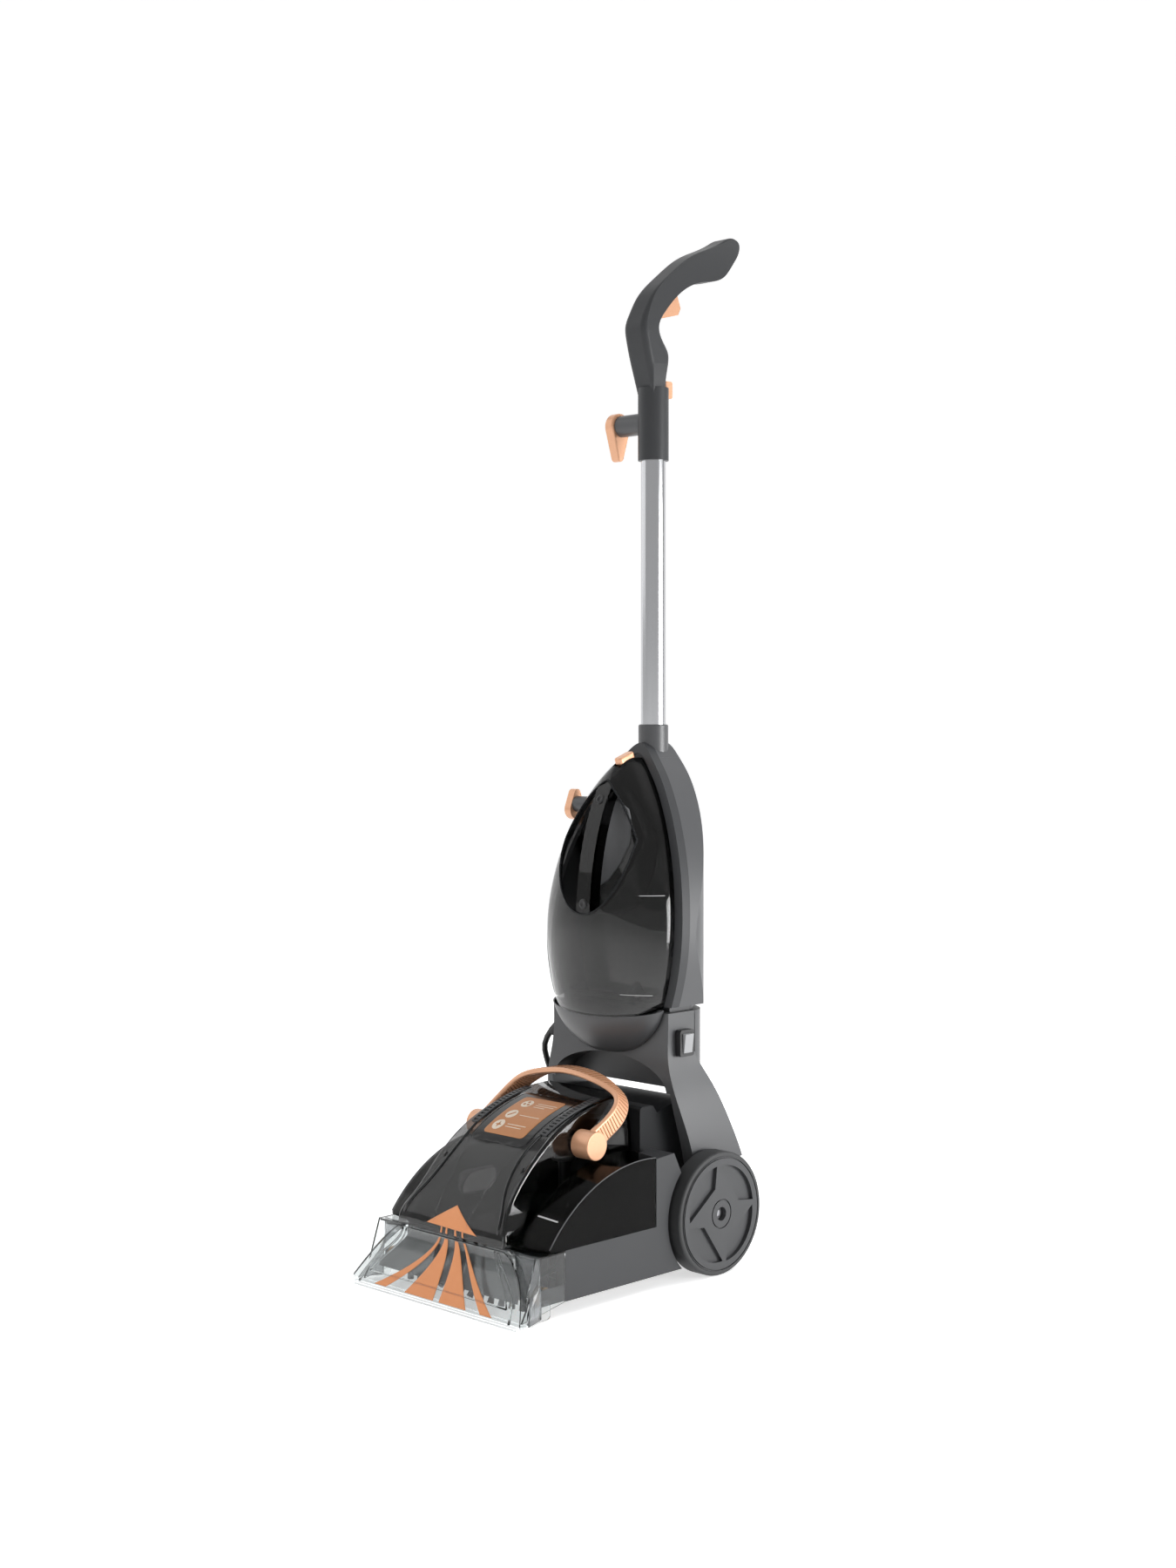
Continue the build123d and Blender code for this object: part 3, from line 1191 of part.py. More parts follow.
def tank_blank(inset):
    rear = CRADLE_Y - SEAT_GAP - inset
    with BuildPart() as blank:
        for level in TANK_LEVELS:
            half = arch_half(level, RIM + TANK_GAP) - inset
            side = front_y(level)
            with BuildSketch(Plane.XY.offset(level - 3 * inset)):
                with BuildLine():
                    depth = side - egg_front(level) - inset
                    arc = EllipticalCenterArc((0, side), half, depth, 180, arc_size=180)
                    back = half - min(TANK_TAPER, half / 2)
                    Polyline(arc @ 1, (back, rear), (-back, rear), arc @ 0)
                make_face()
        loft()
    return blank.part


def pocket_blank(grow):
    steps = [POCKET_MID + (POCKET_APEX + grow - POCKET_MID) * step for step in POCKET_STEPS]
    span = POCKET_APEX + grow - BODY_WIDE_Z
    wide = BODY_HALF - POCKET_RIM + grow
    right = [(wide * (1 - ((z - BODY_WIDE_Z) / span) ** 2) ** BODY_POWER, z) for z in steps]
    with BuildPart() as pocket:
        with BuildSketch(front_plane(POCKET_BACK_Y + grow)):
            with BuildLine():
                Spline(*right, (0, POCKET_APEX + grow), *[(-x, z) for x, z in reversed(right)])
                drop = POCKET_MID - POCKET_BOTTOM + grow
                EllipticalCenterArc((0, POCKET_MID), right[0][0], drop, 180, arc_size=180)
            make_face()
        extrude(amount=2 * EGG_DEPTH)
    return pocket.part


def latch_plane(lift):
    lean = radians(LATCH_TILT)
    up = (0, -sin(lean), cos(lean))
    return Plane(origin=(0, LATCH_Y + lift * up[1], LATCH_Z + lift * up[2]), x_dir=(1, 0, 0), z_dir=up)


with BuildPart() as tank_room:
    add(tank_blank(TANK_WALL))
    add(pocket_blank(TANK_WALL), mode=Mode.SUBTRACT)
    split(bisect_by=floor_plane(TANK_WALL), keep=Keep.TOP)
    split(bisect_by=latch_plane(-LATCH_T / 2 - 2 * TANK_WALL), keep=Keep.BOTTOM)

with BuildPart() as clean_tank:
    add(tank_blank(0))
    add(pocket_blank(0), mode=Mode.SUBTRACT)
    split(bisect_by=floor_plane(0), keep=Keep.TOP)
    add(tank_room.part, mode=Mode.SUBTRACT)
    with BuildSketch(Plane.XY.offset(BLOCK_TOP)):
        with Locations((VALVE_X, VALVE_Y)):
            Circle(VALVE_STEM_R + RUN_GAP)
    extrude(amount=8 * TANK_WALL, mode=Mode.SUBTRACT)
    with BuildSketch(latch_plane(0)):
        with Locations((0, -LATCH_TRAVEL / 2)):
            Rectangle(LATCH_W + 2 * SEAT_GAP, LATCH_L + LATCH_TRAVEL + 2 * SEAT_GAP)
    extrude(amount=-LATCH_T / 2, mode=Mode.SUBTRACT)
    with BuildSketch(latch_plane(0)):
        Rectangle(LATCH_FLAT_W, LATCH_L + 2 * LATCH_TRAVEL)
    extrude(amount=4 * LATCH_T, mode=Mode.SUBTRACT)
keep(clean_tank, "clean_tank")

with BuildPart() as tank_latch:
    with BuildSketch(latch_plane(SEAT_GAP - LATCH_T / 2)):
        RectangleRounded(LATCH_W, LATCH_L, LATCH_W / 3)
    extrude(amount=LATCH_T)
    fillet(tank_latch.faces().sort_by(Axis.Z)[-1].edges(), LATCH_T / 4)
keep(tank_latch, "tank_latch")

with BuildPart() as tank_grip:
    levels = [GRIP_ENDS[0] + (GRIP_ENDS[1] - GRIP_ENDS[0]) * step / 6 for step in range(7)]
    outer = [(egg_front(z) + 1, z) for z in levels]
    inner = [(y + GRIP_T, z) for y, z in outer]
    with BuildSketch(side_plane()):
        with BuildLine():
            Spline(*outer)
            Line(outer[-1], inner[-1])
            Spline(*inner)
            Line(inner[0], outer[0])
        make_face()
    extrude(amount=GRIP_HALF, both=True)
    add(pocket_blank(-SEAT_GAP), mode=Mode.INTERSECT)
keep(tank_grip, "tank_grip")

VALVE_SEAT = TILT_Z + TANK_FLOOR_SLOPE * (VALVE_Y + VALVE_R - TILT_Y) + 1.2 * TANK_WALL + SEAT_GAP

with BuildPart() as tank_valve:
    with BuildSketch(Plane.XY.offset(VALVE_SEAT)):
        with Locations((VALVE_X, VALVE_Y)):
            Circle(VALVE_R)
    extrude(amount=VALVE_H, taper=VALVE_TAPER)
    with BuildSketch(Plane.XY.offset(VALVE_SEAT)):
        with Locations((VALVE_X, VALVE_Y)):
            Circle(VALVE_STEM_R)
    extrude(amount=-(VALVE_SEAT - BODY_BOTTOM + SEAT_GAP))
keep(tank_valve, "tank_valve")

with BuildPart() as outlet_cup:
    with BuildSketch(Plane.XY.offset(BODY_BOTTOM - 4 * SHELL + RUN_GAP)):
        with Locations((VALVE_X, VALVE_Y)):
            Circle(VALVE_R - RUN_GAP)
            Circle(VALVE_STEM_R + SHELL, mode=Mode.SUBTRACT)
    extrude(amount=4 * SHELL - 2 * RUN_GAP)
keep(outlet_cup, "outlet_cup")

# Switch bezel and rocker
with BuildPart() as switch_bezel:
    with BuildSketch(side_plane(BLOCK_HALF + SEAT_GAP)):
        with Locations((SWITCH_Y, SWITCH_Z)):
            RectangleRounded(SWITCH_W, SWITCH_H, SHELL)
    extrude(amount=SWITCH_PROUD)
    with BuildSketch(side_plane(BLOCK_HALF + SEAT_GAP + SWITCH_PROUD)):
        with Locations((SWITCH_Y, SWITCH_Z)):
            Rectangle(ROCKER_W + 2 * SEAT_GAP, ROCKER_H + 4 * SEAT_GAP)
    extrude(amount=-(SWITCH_PROUD - WALL), mode=Mode.SUBTRACT)
    with BuildSketch(side_plane(BLOCK_HALF + SEAT_GAP)):
        with Locations((SWITCH_Y, SWITCH_Z)):
            Rectangle(ROCKER_W + SHELL, ROCKER_H + SHELL)
    extrude(amount=-2 * SHELL)
keep(switch_bezel, "switch_bezel")

ROCKER_X = BLOCK_HALF + SEAT_GAP + SWITCH_PROUD

with BuildPart() as switch_rocker:
    facing = (cos(radians(ROCKER_TILT)), 0, -sin(radians(ROCKER_TILT)))
    with BuildSketch(Plane(origin=(ROCKER_X, SWITCH_Y, SWITCH_Z), x_dir=(0, 1, 0), z_dir=facing)):
        Rectangle(ROCKER_W, ROCKER_H)
    extrude(amount=ROCKER_T / 2, both=True)
    fillet(switch_rocker.faces().sort_by(Axis.X)[-1].edges(), SEAT_GAP)
keep(switch_rocker, "switch_rocker")

# Chrome tube, two handle shells, trigger and push rod
with BuildPart() as handle_tube:
    with BuildSketch(Plane.XY.offset(TUBE_BOTTOM + RUN_GAP)):
        with Locations((0, TUBE_Y)):
            Circle(TUBE_D / 2)
            Circle(TUBE_D / 2 - TUBE_WALL, mode=Mode.SUBTRACT)
    extrude(amount=TUBE_TOP - TUBE_BOTTOM - RUN_GAP)
keep(handle_tube, "handle_tube")

ROD_TOP = TRIGGER_SHAPE[-1][1] - SEAT_GAP

with BuildPart() as handle_blank:
    with BuildSketch(side_plane()):
        with BuildLine():
            Spline(*HANDLE_LINE)
            Line(HANDLE_LINE[-1], HANDLE_LINE[0])
        make_face()
    extrude(amount=HANDLE_HALF, both=True)
    fillet(handle_blank.faces().filter_by(Axis.X).edges().filter_by(GeomType.BSPLINE), HANDLE_EDGE_R)
    with BuildSketch(front_plane()):
        with BuildLine():
            Spline(*NECK_FLARE)
            Line(NECK_FLARE[-1], (-NECK_FLARE[-1][0], NECK_FLARE[-1][1]))
            Spline(*[(-x, z) for x, z in NECK_FLARE])
            Line((-NECK_FLARE[0][0], NECK_FLARE[0][1]), NECK_FLARE[0])
        make_face()
    extrude(amount=HANDLE_LINE[-1][1], both=True, mode=Mode.INTERSECT)
    with BuildSketch(Plane.XY.offset(SLEEVE_BOTTOM)):
        with Locations((0, TUBE_Y)):
            Circle(SLEEVE_R)
    extrude(amount=SLEEVE_TOP - SLEEVE_BOTTOM)
    with BuildSketch(Plane.XY.offset(SLEEVE_BOTTOM)):
        with Locations((0, TUBE_Y)):
            Circle(TUBE_D / 2 + RUN_GAP)
    extrude(amount=TUBE_TOP + RUN_GAP - SLEEVE_BOTTOM, mode=Mode.SUBTRACT)
    with BuildSketch(Plane.XY.offset(SLEEVE_BOTTOM)):
        with Locations((0, ROD_Y)):
            Circle(ROD_R + SEAT_GAP)
    extrude(amount=ROD_TOP - SLEEVE_BOTTOM, mode=Mode.SUBTRACT)
    with BuildSketch(side_plane()):
        with BuildLine():
            Polyline(*TRIGGER_ROOM, close=True)
        make_face()
    extrude(amount=TRIGGER_HALF + 2 * SEAT_GAP, both=True, mode=Mode.SUBTRACT)
    with BuildSketch(side_plane()):
        with Locations(TRIGGER_PIVOT):
            Circle(TRIGGER_PIN_R + RUN_GAP / 2)
    extrude(amount=2 * TRIGGER_HALF, both=True, mode=Mode.SUBTRACT)

with BuildPart() as handle_shell_left:
    add(handle_blank.part)
    split(bisect_by=side_plane(GRIP_SPLIT_X - RUN_GAP), keep=Keep.BOTTOM)
keep(handle_shell_left, "handle_shell_left")

with BuildPart() as handle_shell_right:
    add(handle_blank.part)
    split(bisect_by=side_plane(GRIP_SPLIT_X), keep=Keep.TOP)
keep(handle_shell_right, "handle_shell_right")

with BuildPart() as trigger_pin:
    with BuildSketch(side_plane(GRIP_SPLIT_X + SEAT_GAP)):
        with Locations(TRIGGER_PIVOT):
            Circle(TRIGGER_PIN_R)
    extrude(amount=2 * TRIGGER_HALF - GRIP_SPLIT_X - 2 * SEAT_GAP)
keep(trigger_pin, "trigger_pin")

with BuildPart() as trigger:
    with BuildSketch(side_plane()):
        with BuildLine():
            Polyline(*TRIGGER_SHAPE, close=True)
        make_face()
    extrude(amount=TRIGGER_HALF, both=True)
    with BuildSketch(side_plane()):
        with Locations(TRIGGER_PIVOT):
            Circle(TRIGGER_PIN_R + RUN_GAP)
    extrude(amount=2 * TRIGGER_HALF, both=True, mode=Mode.SUBTRACT)
keep(trigger, "trigger")

with BuildPart() as push_rod:
    with BuildSketch(Plane.XY.offset(ROD_BOTTOM)):
        with Locations((0, ROD_Y)):
            Circle(ROD_R)
    extrude(amount=ROD_TOP - ROD_BOTTOM)
keep(push_rod, "push_rod")

with BuildPart() as solution_valve:
    with BuildSketch(Plane.XY.offset(BODY_BOTTOM + SHELL + RUN_GAP)):
        with Locations((0, ROD_Y + 2 * SHELL)):
            Rectangle(TUBE_D, TUBE_D / 2)
    extrude(amount=ROD_BOTTOM - BODY_BOTTOM - SHELL - 2 * ROD_ROOM)
    with BuildSketch(Plane.XY.offset(BODY_BOTTOM + SHELL)):
        with Locations((0, ROD_Y)):
            Circle(2 * ROD_R)
    extrude(amount=ROD_BOTTOM - BODY_BOTTOM - SHELL - 1.5 * ROD_ROOM)
keep(solution_valve, "solution_valve")

# Cord hooks and clip
with BuildPart() as hook_post:
    with BuildSketch(side_plane()):
        with Locations((HOOK_Y, HOOK_Z)):
            Circle(HOOK_POST_R)
    extrude(amount=HOOK_POST_X)
    with BuildSketch(side_plane(HOOK_POST_X)):
        with Locations((HOOK_Y, HOOK_Z)):
            Circle(HOOK_STUB_R)
    extrude(amount=HOOK_OUT_X + WALL - HOOK_POST_X)
    with BuildSketch(Plane.XY.offset(SLEEVE_BOTTOM)):
        with Locations((0, TUBE_Y)):
            Circle(SLEEVE_R + RUN_GAP)
    extrude(amount=SLEEVE_TOP - SLEEVE_BOTTOM, mode=Mode.SUBTRACT)
    split(bisect_by=side_plane(GRIP_SPLIT_X), keep=Keep.BOTTOM)
keep(hook_post, "hook_post")

with BuildPart() as upper_hook:
    with BuildSketch(side_plane(HOOK_POST_X - SEAT_GAP)):
        with Locations((HOOK_Y, HOOK_Z)):
            Circle(HOOK_HEAD_R)
        with Locations((HOOK_Y, HOOK_Z - HOOK_DROP)):
            Circle(HOOK_TIP_R)
        make_hull()
    extrude(amount=HOOK_OUT_X - HOOK_POST_X + SEAT_GAP)
    fillet(upper_hook.faces().filter_by(Axis.X).edges(), WALL)
    with BuildSketch(side_plane(HOOK_POST_X)):
        with Locations((HOOK_Y, HOOK_Z)):
            Circle(HOOK_STUB_R + RUN_GAP)
    extrude(amount=HOOK_OUT_X + WALL - SEAT_GAP - HOOK_POST_X, mode=Mode.SUBTRACT)
keep(upper_hook, "upper_hook")

with BuildPart() as lower_post:
    with BuildSketch(side_plane(-BODY_SIDE_Y)):
        with Locations((LOWER_HOOK_Y, LOWER_HOOK_Z)):
            Circle(LOWER_HOOK_R)
    extrude(amount=LOWER_HOOK_X + BODY_SIDE_Y)
    add(BODY_BLANK, mode=Mode.SUBTRACT)
    with BuildSketch(side_plane(LOWER_HOOK_X)):
        with Locations((LOWER_HOOK_Y, LOWER_HOOK_Z)):
            Circle(HOOK_STUB_R)
    extrude(amount=LOWER_HOOK_OUT_X + WALL + SEAT_GAP - LOWER_HOOK_X)
keep(lower_post, "lower_post")

with BuildPart() as lower_hook:
    with BuildSketch(side_plane(LOWER_HOOK_X - RUN_GAP)):
        with Locations((LOWER_HOOK_Y, LOWER_HOOK_Z)):
            Circle(LOWER_HOOK_R)
        with Locations((LOWER_HOOK_Y, LOWER_HOOK_Z - LOWER_HOOK_RISE / 2)):
            Circle(LOWER_HOOK_R + WALL)
        with Locations((LOWER_HOOK_Y, LOWER_HOOK_Z + LOWER_HOOK_RISE)):
            Circle(HOOK_TIP_R)
        make_hull()
    extrude(amount=LOWER_HOOK_OUT_X - LOWER_HOOK_X + RUN_GAP)
    fillet(lower_hook.faces().filter_by(Axis.X).sort_by(Axis.X)[0].edges(), WALL)
    with BuildSketch(side_plane(LOWER_HOOK_X)):
        with Locations((LOWER_HOOK_Y, LOWER_HOOK_Z)):
            Circle(HOOK_STUB_R + RUN_GAP)
    extrude(amount=LOWER_HOOK_OUT_X + WALL - LOWER_HOOK_X, mode=Mode.SUBTRACT)
keep(lower_hook, "lower_hook")

with BuildPart() as cable_clip:
    with BuildSketch(Plane.XY.offset(CABLE_CLIP_Z - CABLE_CLIP_H / 2)):
        with Locations((0, TUBE_Y + CABLE_CLIP_OUT / 2 - TUBE_Y / 2)):
            Rectangle(2 * HOOK_TIP_R, CABLE_CLIP_OUT - TUBE_Y)
    extrude(amount=CABLE_CLIP_H)
    fillet(cable_clip.edges().filter_by(Axis.X).sort_by(Axis.Y)[-2:], WALL)
    with BuildSketch(Plane.XY.offset(SLEEVE_BOTTOM)):
        with Locations((0, TUBE_Y)):
            Circle(SLEEVE_R + RUN_GAP)
    extrude(amount=SLEEVE_TOP, mode=Mode.SUBTRACT)
keep(cable_clip, "cable_clip")

# Mains cord
CORD_R = CORD_D / 2
AIM = Vector(*CORD_AIM).normalized()
EXIT = Vector(*CORD_EXIT)
COIL_OUT_R = COIL_IN_R + COIL_PITCH * COIL_TURNS
COIL_LOW_Z = CORD_R + TIE_T + SEAT_GAP
COIL_TOP_Z = COIL_LOW_Z + (COIL_LAYERS - 1) * COIL_LAYER_H
LAYER_HALVES = 2 * COIL_TURNS
COIL_HALVES = COIL_LAYERS * LAYER_HALVES + COIL_LAYERS - 1
COIL_LAST = COIL_HALVES - 1e-9
COIL_STEP = 1e-4
COIL_SAMPLES = 900

with BuildPart() as strain_relief:
    with BuildSketch(Plane(origin=EXIT - AIM * RELIEF_R, z_dir=AIM)):
        Circle(RELIEF_R)
    extrude(amount=RELIEF_L + RELIEF_R, taper=RELIEF_TAPER)
    with BuildSketch(Plane(origin=EXIT + AIM * RELIEF_R, z_dir=AIM)):
        Circle(CORD_R + RUN_GAP)
    extrude(amount=2 * RELIEF_L, mode=Mode.SUBTRACT)
    split(bisect_by=side_plane(CORD_EXIT[0]), keep=Keep.BOTTOM)
keep(strain_relief, "strain_relief")


def coil_point(half):
    layer = int(half // (LAYER_HALVES + 1))
    within = half - layer * (LAYER_HALVES + 1)
    flat = min(within, LAYER_HALVES)
    climb = max(0.0, within - LAYER_HALVES)
    inward = COIL_OUT_R - COIL_PITCH / 2 * flat
    reach = inward if layer % 2 == 0 else COIL_OUT_R + COIL_IN_R - inward
    height = COIL_TOP_Z - COIL_LAYER_H * (layer + (1 - cos(pi * climb)) / 2)
    turn = radians(COIL_START_DEG - 180 * half)
    return Vector(COIL_X + reach * cos(turn), COIL_Y + reach * sin(turn), height)


def coil_heading(half):
    before = coil_point(max(0.0, half - COIL_STEP))
    after = coil_point(min(COIL_LAST, half + COIL_STEP))
    return (after - before).normalized()


def biarc_joint(start, aim_start, end, aim_end):
    span = end - start
    both = aim_start + aim_end
    square = 2 * aim_start.dot(aim_end) - 2
    along = span.dot(both)
    reach = (along - sqrt(along ** 2 - square * span.dot(span))) / square
    return (start + aim_start * reach + end - aim_end * reach) / 2


COIL_STOPS = [min(half, COIL_LAST) for half in range(COIL_HALVES + 1)]
COIL_ENTRY = coil_point(0) - coil_heading(0) * CORD_D
COIL_END = coil_point(COIL_STOPS[-1])
END_AIM = coil_heading(COIL_STOPS[-1])
TAIL_CHORD = 2 * TAIL_R * sin(radians(TAIL_DEG / 2))
COIL_EXIT = COIL_END + END_AIM.rotate(Axis.Z, TAIL_DEG / 2) * TAIL_CHORD

with BuildPart() as mains_cord:
    start = EXIT + AIM * (RELIEF_R + SEAT_GAP)
    bend = EXIT + AIM * (RELIEF_L + 2 * CORD_D)
    level = COIL_ENTRY - coil_heading(0) * 3 * CORD_D
    points = [start, bend, *[Vector(*point) for point in CORD_RUN], level, COIL_ENTRY]
    radii = []
    for before, here, after in zip(points, points[1:], points[2:]):
        turn = acos((here - before).normalized().dot((after - here).normalized()))
        radii.append(BEND_SHARE * min((here - before).length, (after - here).length) / tan(turn / 2))
    print("cord radii", [round(radius, 1) for radius in radii])
    with BuildLine() as run:
        FilletPolyline(*points, radius=radii)
    with BuildSketch(Plane(origin=start, z_dir=AIM)):
        Circle(CORD_R)
    sweep(path=run.line)
keep(mains_cord, "mains_cord")

with BuildPart() as cord_coil:
    with BuildLine() as winding:
        Line(COIL_ENTRY, coil_point(0))
        for here, there in zip(COIL_STOPS, COIL_STOPS[1:]):
            joint = biarc_joint(coil_point(here), coil_heading(here), coil_point(there), coil_heading(there))
            first = TangentArc(coil_point(here), joint, tangent=coil_heading(here))
            TangentArc(joint, coil_point(there), tangent=first % 1)
        TangentArc(COIL_END, COIL_EXIT, tangent=END_AIM)
    with BuildSketch(Plane(origin=COIL_ENTRY, z_dir=coil_heading(0))):
        RegularPolygon(radius=CORD_R, side_count=8)
    sweep(path=winding.line)
keep(cord_coil, "cord_coil")

samples = [winding.wire() @ (i / COIL_SAMPLES) for i in range(COIL_SAMPLES + 1)]
length = winding.wire().length
apart = [
    (a - b).length
    for i, a in enumerate(samples)
    for j, b in enumerate(samples[i + 1:], i + 1)
    if (j - i) * length / COIL_SAMPLES > 4 * CORD_D
]
print("coil length", round(length), "least self-gap", round(min(apart) - CORD_D, 2))

BUNDLE_IN = COIL_IN_R - CORD_R - 2 * SEAT_GAP
BUNDLE_OUT = COIL_OUT_R + CORD_R + 2 * SEAT_GAP
BUNDLE_TOP = COIL_TOP_Z + CORD_R + 2 * SEAT_GAP
TIE_AIM = (cos(radians(TIE_DEG)), sin(radians(TIE_DEG)), 0)

with BuildPart() as cord_tie:
    with BuildSketch(Plane(origin=(COIL_X, COIL_Y, 0), x_dir=TIE_AIM, z_dir=(TIE_AIM[1], -TIE_AIM[0], 0))):
        with Locations(((BUNDLE_IN + BUNDLE_OUT) / 2, (BUNDLE_TOP + TIE_T) / 2 + RUN_GAP)):
            RectangleRounded(BUNDLE_OUT - BUNDLE_IN + 2 * TIE_T, BUNDLE_TOP + TIE_T, 2 * TIE_T)
            RectangleRounded(BUNDLE_OUT - BUNDLE_IN, BUNDLE_TOP - TIE_T, TIE_T, mode=Mode.SUBTRACT)
    extrude(amount=TIE_W / 2, both=True)
keep(cord_tie, "cord_tie")

PLUG_AIM = END_AIM.rotate(Axis.Z, TAIL_DEG)

with BuildPart() as mains_plug:
    base = COIL_EXIT + PLUG_AIM * SEAT_GAP
    with BuildSketch(Plane(origin=(base.X, base.Y, RUN_GAP), x_dir=PLUG_AIM, z_dir=(0, 0, 1))):
        with BuildLine():
            Polyline(
                (0, CORD_D), (PLUG_L / 3, PLUG_W / 2), (PLUG_L, PLUG_W / 3), (PLUG_L, -PLUG_W / 3),
                (PLUG_L / 3, -PLUG_W / 2), (0, -CORD_D), close=True,
            )
        make_face()
    extrude(amount=PLUG_H)
    fillet(mains_plug.faces().sort_by(Axis.Z)[-1].edges(), SHELL)
    with BuildSketch(Plane(origin=(base.X, base.Y, PLUG_H), x_dir=PLUG_AIM, z_dir=(0, 0, 1))):
        with Locations((PLUG_L / 3, PLUG_W / 4), (PLUG_L / 3, -PLUG_W / 4)):
            Rectangle(*PIN_SIZE)
    extrude(amount=PIN_L)
    with BuildSketch(Plane(origin=(base.X, base.Y, PLUG_H), x_dir=PLUG_AIM, z_dir=(0, 0, 1))):
        with Locations((EARTH_AT, 0)):
            Rectangle(*EARTH_SIZE)
    extrude(amount=EARTH_L)
keep(mains_plug, "mains_plug")
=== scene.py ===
# %% [markdown]
# # A carpet washer, dressed in Blender
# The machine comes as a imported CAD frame: every rigid piece is already in place, in metres, and moves with
# its own body. This notebook gives each piece its finish, adds what CAD leaves out, such as the flexible
# cord, the printed marks and the fine trim, and sets up a plain studio around it. The machine faces -y, and
# left and right are meant as seen from its front. Named sizes are in millimetres, and the places of the
# camera and of what is in the studio are in metres.

# %% Load the frame
from math import cos, pi, radians, sin

import bmesh
import bpy
from mathutils import Matrix, Vector
from mathutils.bvhtree import BVHTree


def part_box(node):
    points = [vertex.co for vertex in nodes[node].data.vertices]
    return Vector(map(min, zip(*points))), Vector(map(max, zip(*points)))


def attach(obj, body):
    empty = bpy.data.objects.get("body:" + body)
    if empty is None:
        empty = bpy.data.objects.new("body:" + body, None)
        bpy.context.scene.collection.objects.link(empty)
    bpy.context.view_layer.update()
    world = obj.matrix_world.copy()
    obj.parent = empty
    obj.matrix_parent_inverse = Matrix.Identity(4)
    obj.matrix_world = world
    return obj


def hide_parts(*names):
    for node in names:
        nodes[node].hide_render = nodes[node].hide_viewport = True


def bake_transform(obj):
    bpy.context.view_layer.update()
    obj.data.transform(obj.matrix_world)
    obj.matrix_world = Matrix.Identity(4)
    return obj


MM = 0.001
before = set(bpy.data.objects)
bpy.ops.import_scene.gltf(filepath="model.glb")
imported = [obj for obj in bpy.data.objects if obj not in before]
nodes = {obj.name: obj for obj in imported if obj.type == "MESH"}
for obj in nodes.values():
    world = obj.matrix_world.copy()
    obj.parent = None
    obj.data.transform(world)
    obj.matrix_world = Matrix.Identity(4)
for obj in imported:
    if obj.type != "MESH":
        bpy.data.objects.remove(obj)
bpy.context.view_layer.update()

# %% [markdown]
# ## Camera
# The photograph was taken from the machine's front right corner, level and about 0.6 m above the floor. A
# level camera keeps the tall tube upright in the picture, and the lens shift moves the frame to the
# machine. Tilting the camera would frame it too, but then upright lines would lean towards each other.

# %% Camera
LENS = 47.91
SENSOR = 36.0
SHIFT_Y = -0.0459
CAMERA_AT = (1.5644, -1.5957, 0.5907)
CAMERA_TURN = 44.52
camera_data = bpy.data.cameras.new("camera")
camera_data.lens = LENS
camera_data.sensor_width = SENSOR
camera_data.shift_y = SHIFT_Y
camera = bpy.data.objects.new("camera", camera_data)
camera.location = CAMERA_AT
camera.rotation_euler = (radians(90), 0, radians(CAMERA_TURN))
bpy.context.scene.collection.objects.link(camera)
bpy.context.scene.camera = camera
print("camera at", [round(value, 3) for value in camera.location])

# %% [markdown]
# ## Helpers for materials
# Colours are written as sRGB hex values, as a paint maker would give them, and one function turns them to
# the linear values that Blender's shaders work in. One more function adds a node with its settings and
# links, so that a material reads as a short list of steps. A setting is a property of the node or, if it
# has none of that name, the value of one of its inputs. A pattern's scale counts its features in a metre,
# so `per_mm` works it out from the width of one feature in millimetres.


# %% Helpers for materials
def colour(code):
    channels = [int(code[at:at + 2], 16) / 255 for at in (1, 3, 5)]
    return [c / 12.92 if c <= 0.04045 else ((c + 0.055) / 1.055) ** 2.4 for c in channels] + [1.0]


def add(tree, kind, links=(), **settings):
    made = tree.nodes.new(kind)
    for key, value in settings.items():
        if hasattr(made, key):
            setattr(made, key, value)
        else:
            made.inputs[key.replace("_", " ")].default_value = value
    for socket, source in links:
        tree.links.new(source, made.inputs[socket])
    return made


def new_material(name):
    made = bpy.data.materials.new(name)
    made.use_nodes = True
    made.node_tree.nodes.clear()
    tree = made.node_tree
    output = tree.nodes.new("ShaderNodeOutputMaterial")
    return made, tree, output


def dress(material, *names):
    for name in names:
        piece = nodes[name] if name in nodes else bpy.data.objects[name]
        piece.data.materials.clear()
        piece.data.materials.append(material)


def per_mm(size):
    return 1 / (size * MM)


print("helpers ready")

# %% [markdown]
# ## Helpers for shapes
# The cord, the beads and the ribs are all rods: rings of points along a line, joined to a tube with closed
# ends. A curve with a bevel would look the same, but the points of a mesh can be laid on a surface one by
# one, and they can bend with a joint. Where the line has to be smooth, a NURBS curve guided by a few points
# gives back many.

# %% Helpers for shapes
NEARLY_ALONG = 0.95


def smooth_line(points):
    data = bpy.data.curves.new("route", "CURVE")
    data.dimensions = "3D"
    data.resolution_u = 4
    spline = data.splines.new("NURBS")
    spline.points.add(len(points) - 1)
    for made, point in zip(spline.points, points):
        made.co = (*point, 1.0)
    spline.order_u = 3
    spline.use_endpoint_u = True
    carrier = bpy.data.objects.new("route", data)
    bpy.context.scene.collection.objects.link(carrier)
    flat = bpy.data.meshes.new_from_object(carrier)
    line = [vertex.co.copy() for vertex in flat.vertices]
    bpy.data.objects.remove(carrier)
    bpy.data.curves.remove(data)
    bpy.data.meshes.remove(flat)
    return line


def finish_mesh(name, work, smooth=False):
    data = bpy.data.meshes.new(name)
    work.to_mesh(data)
    work.free()
    for face in data.polygons:
        face.use_smooth = smooth
    piece = bpy.data.objects.new(name, data)
    bpy.context.scene.collection.objects.link(piece)
    return piece


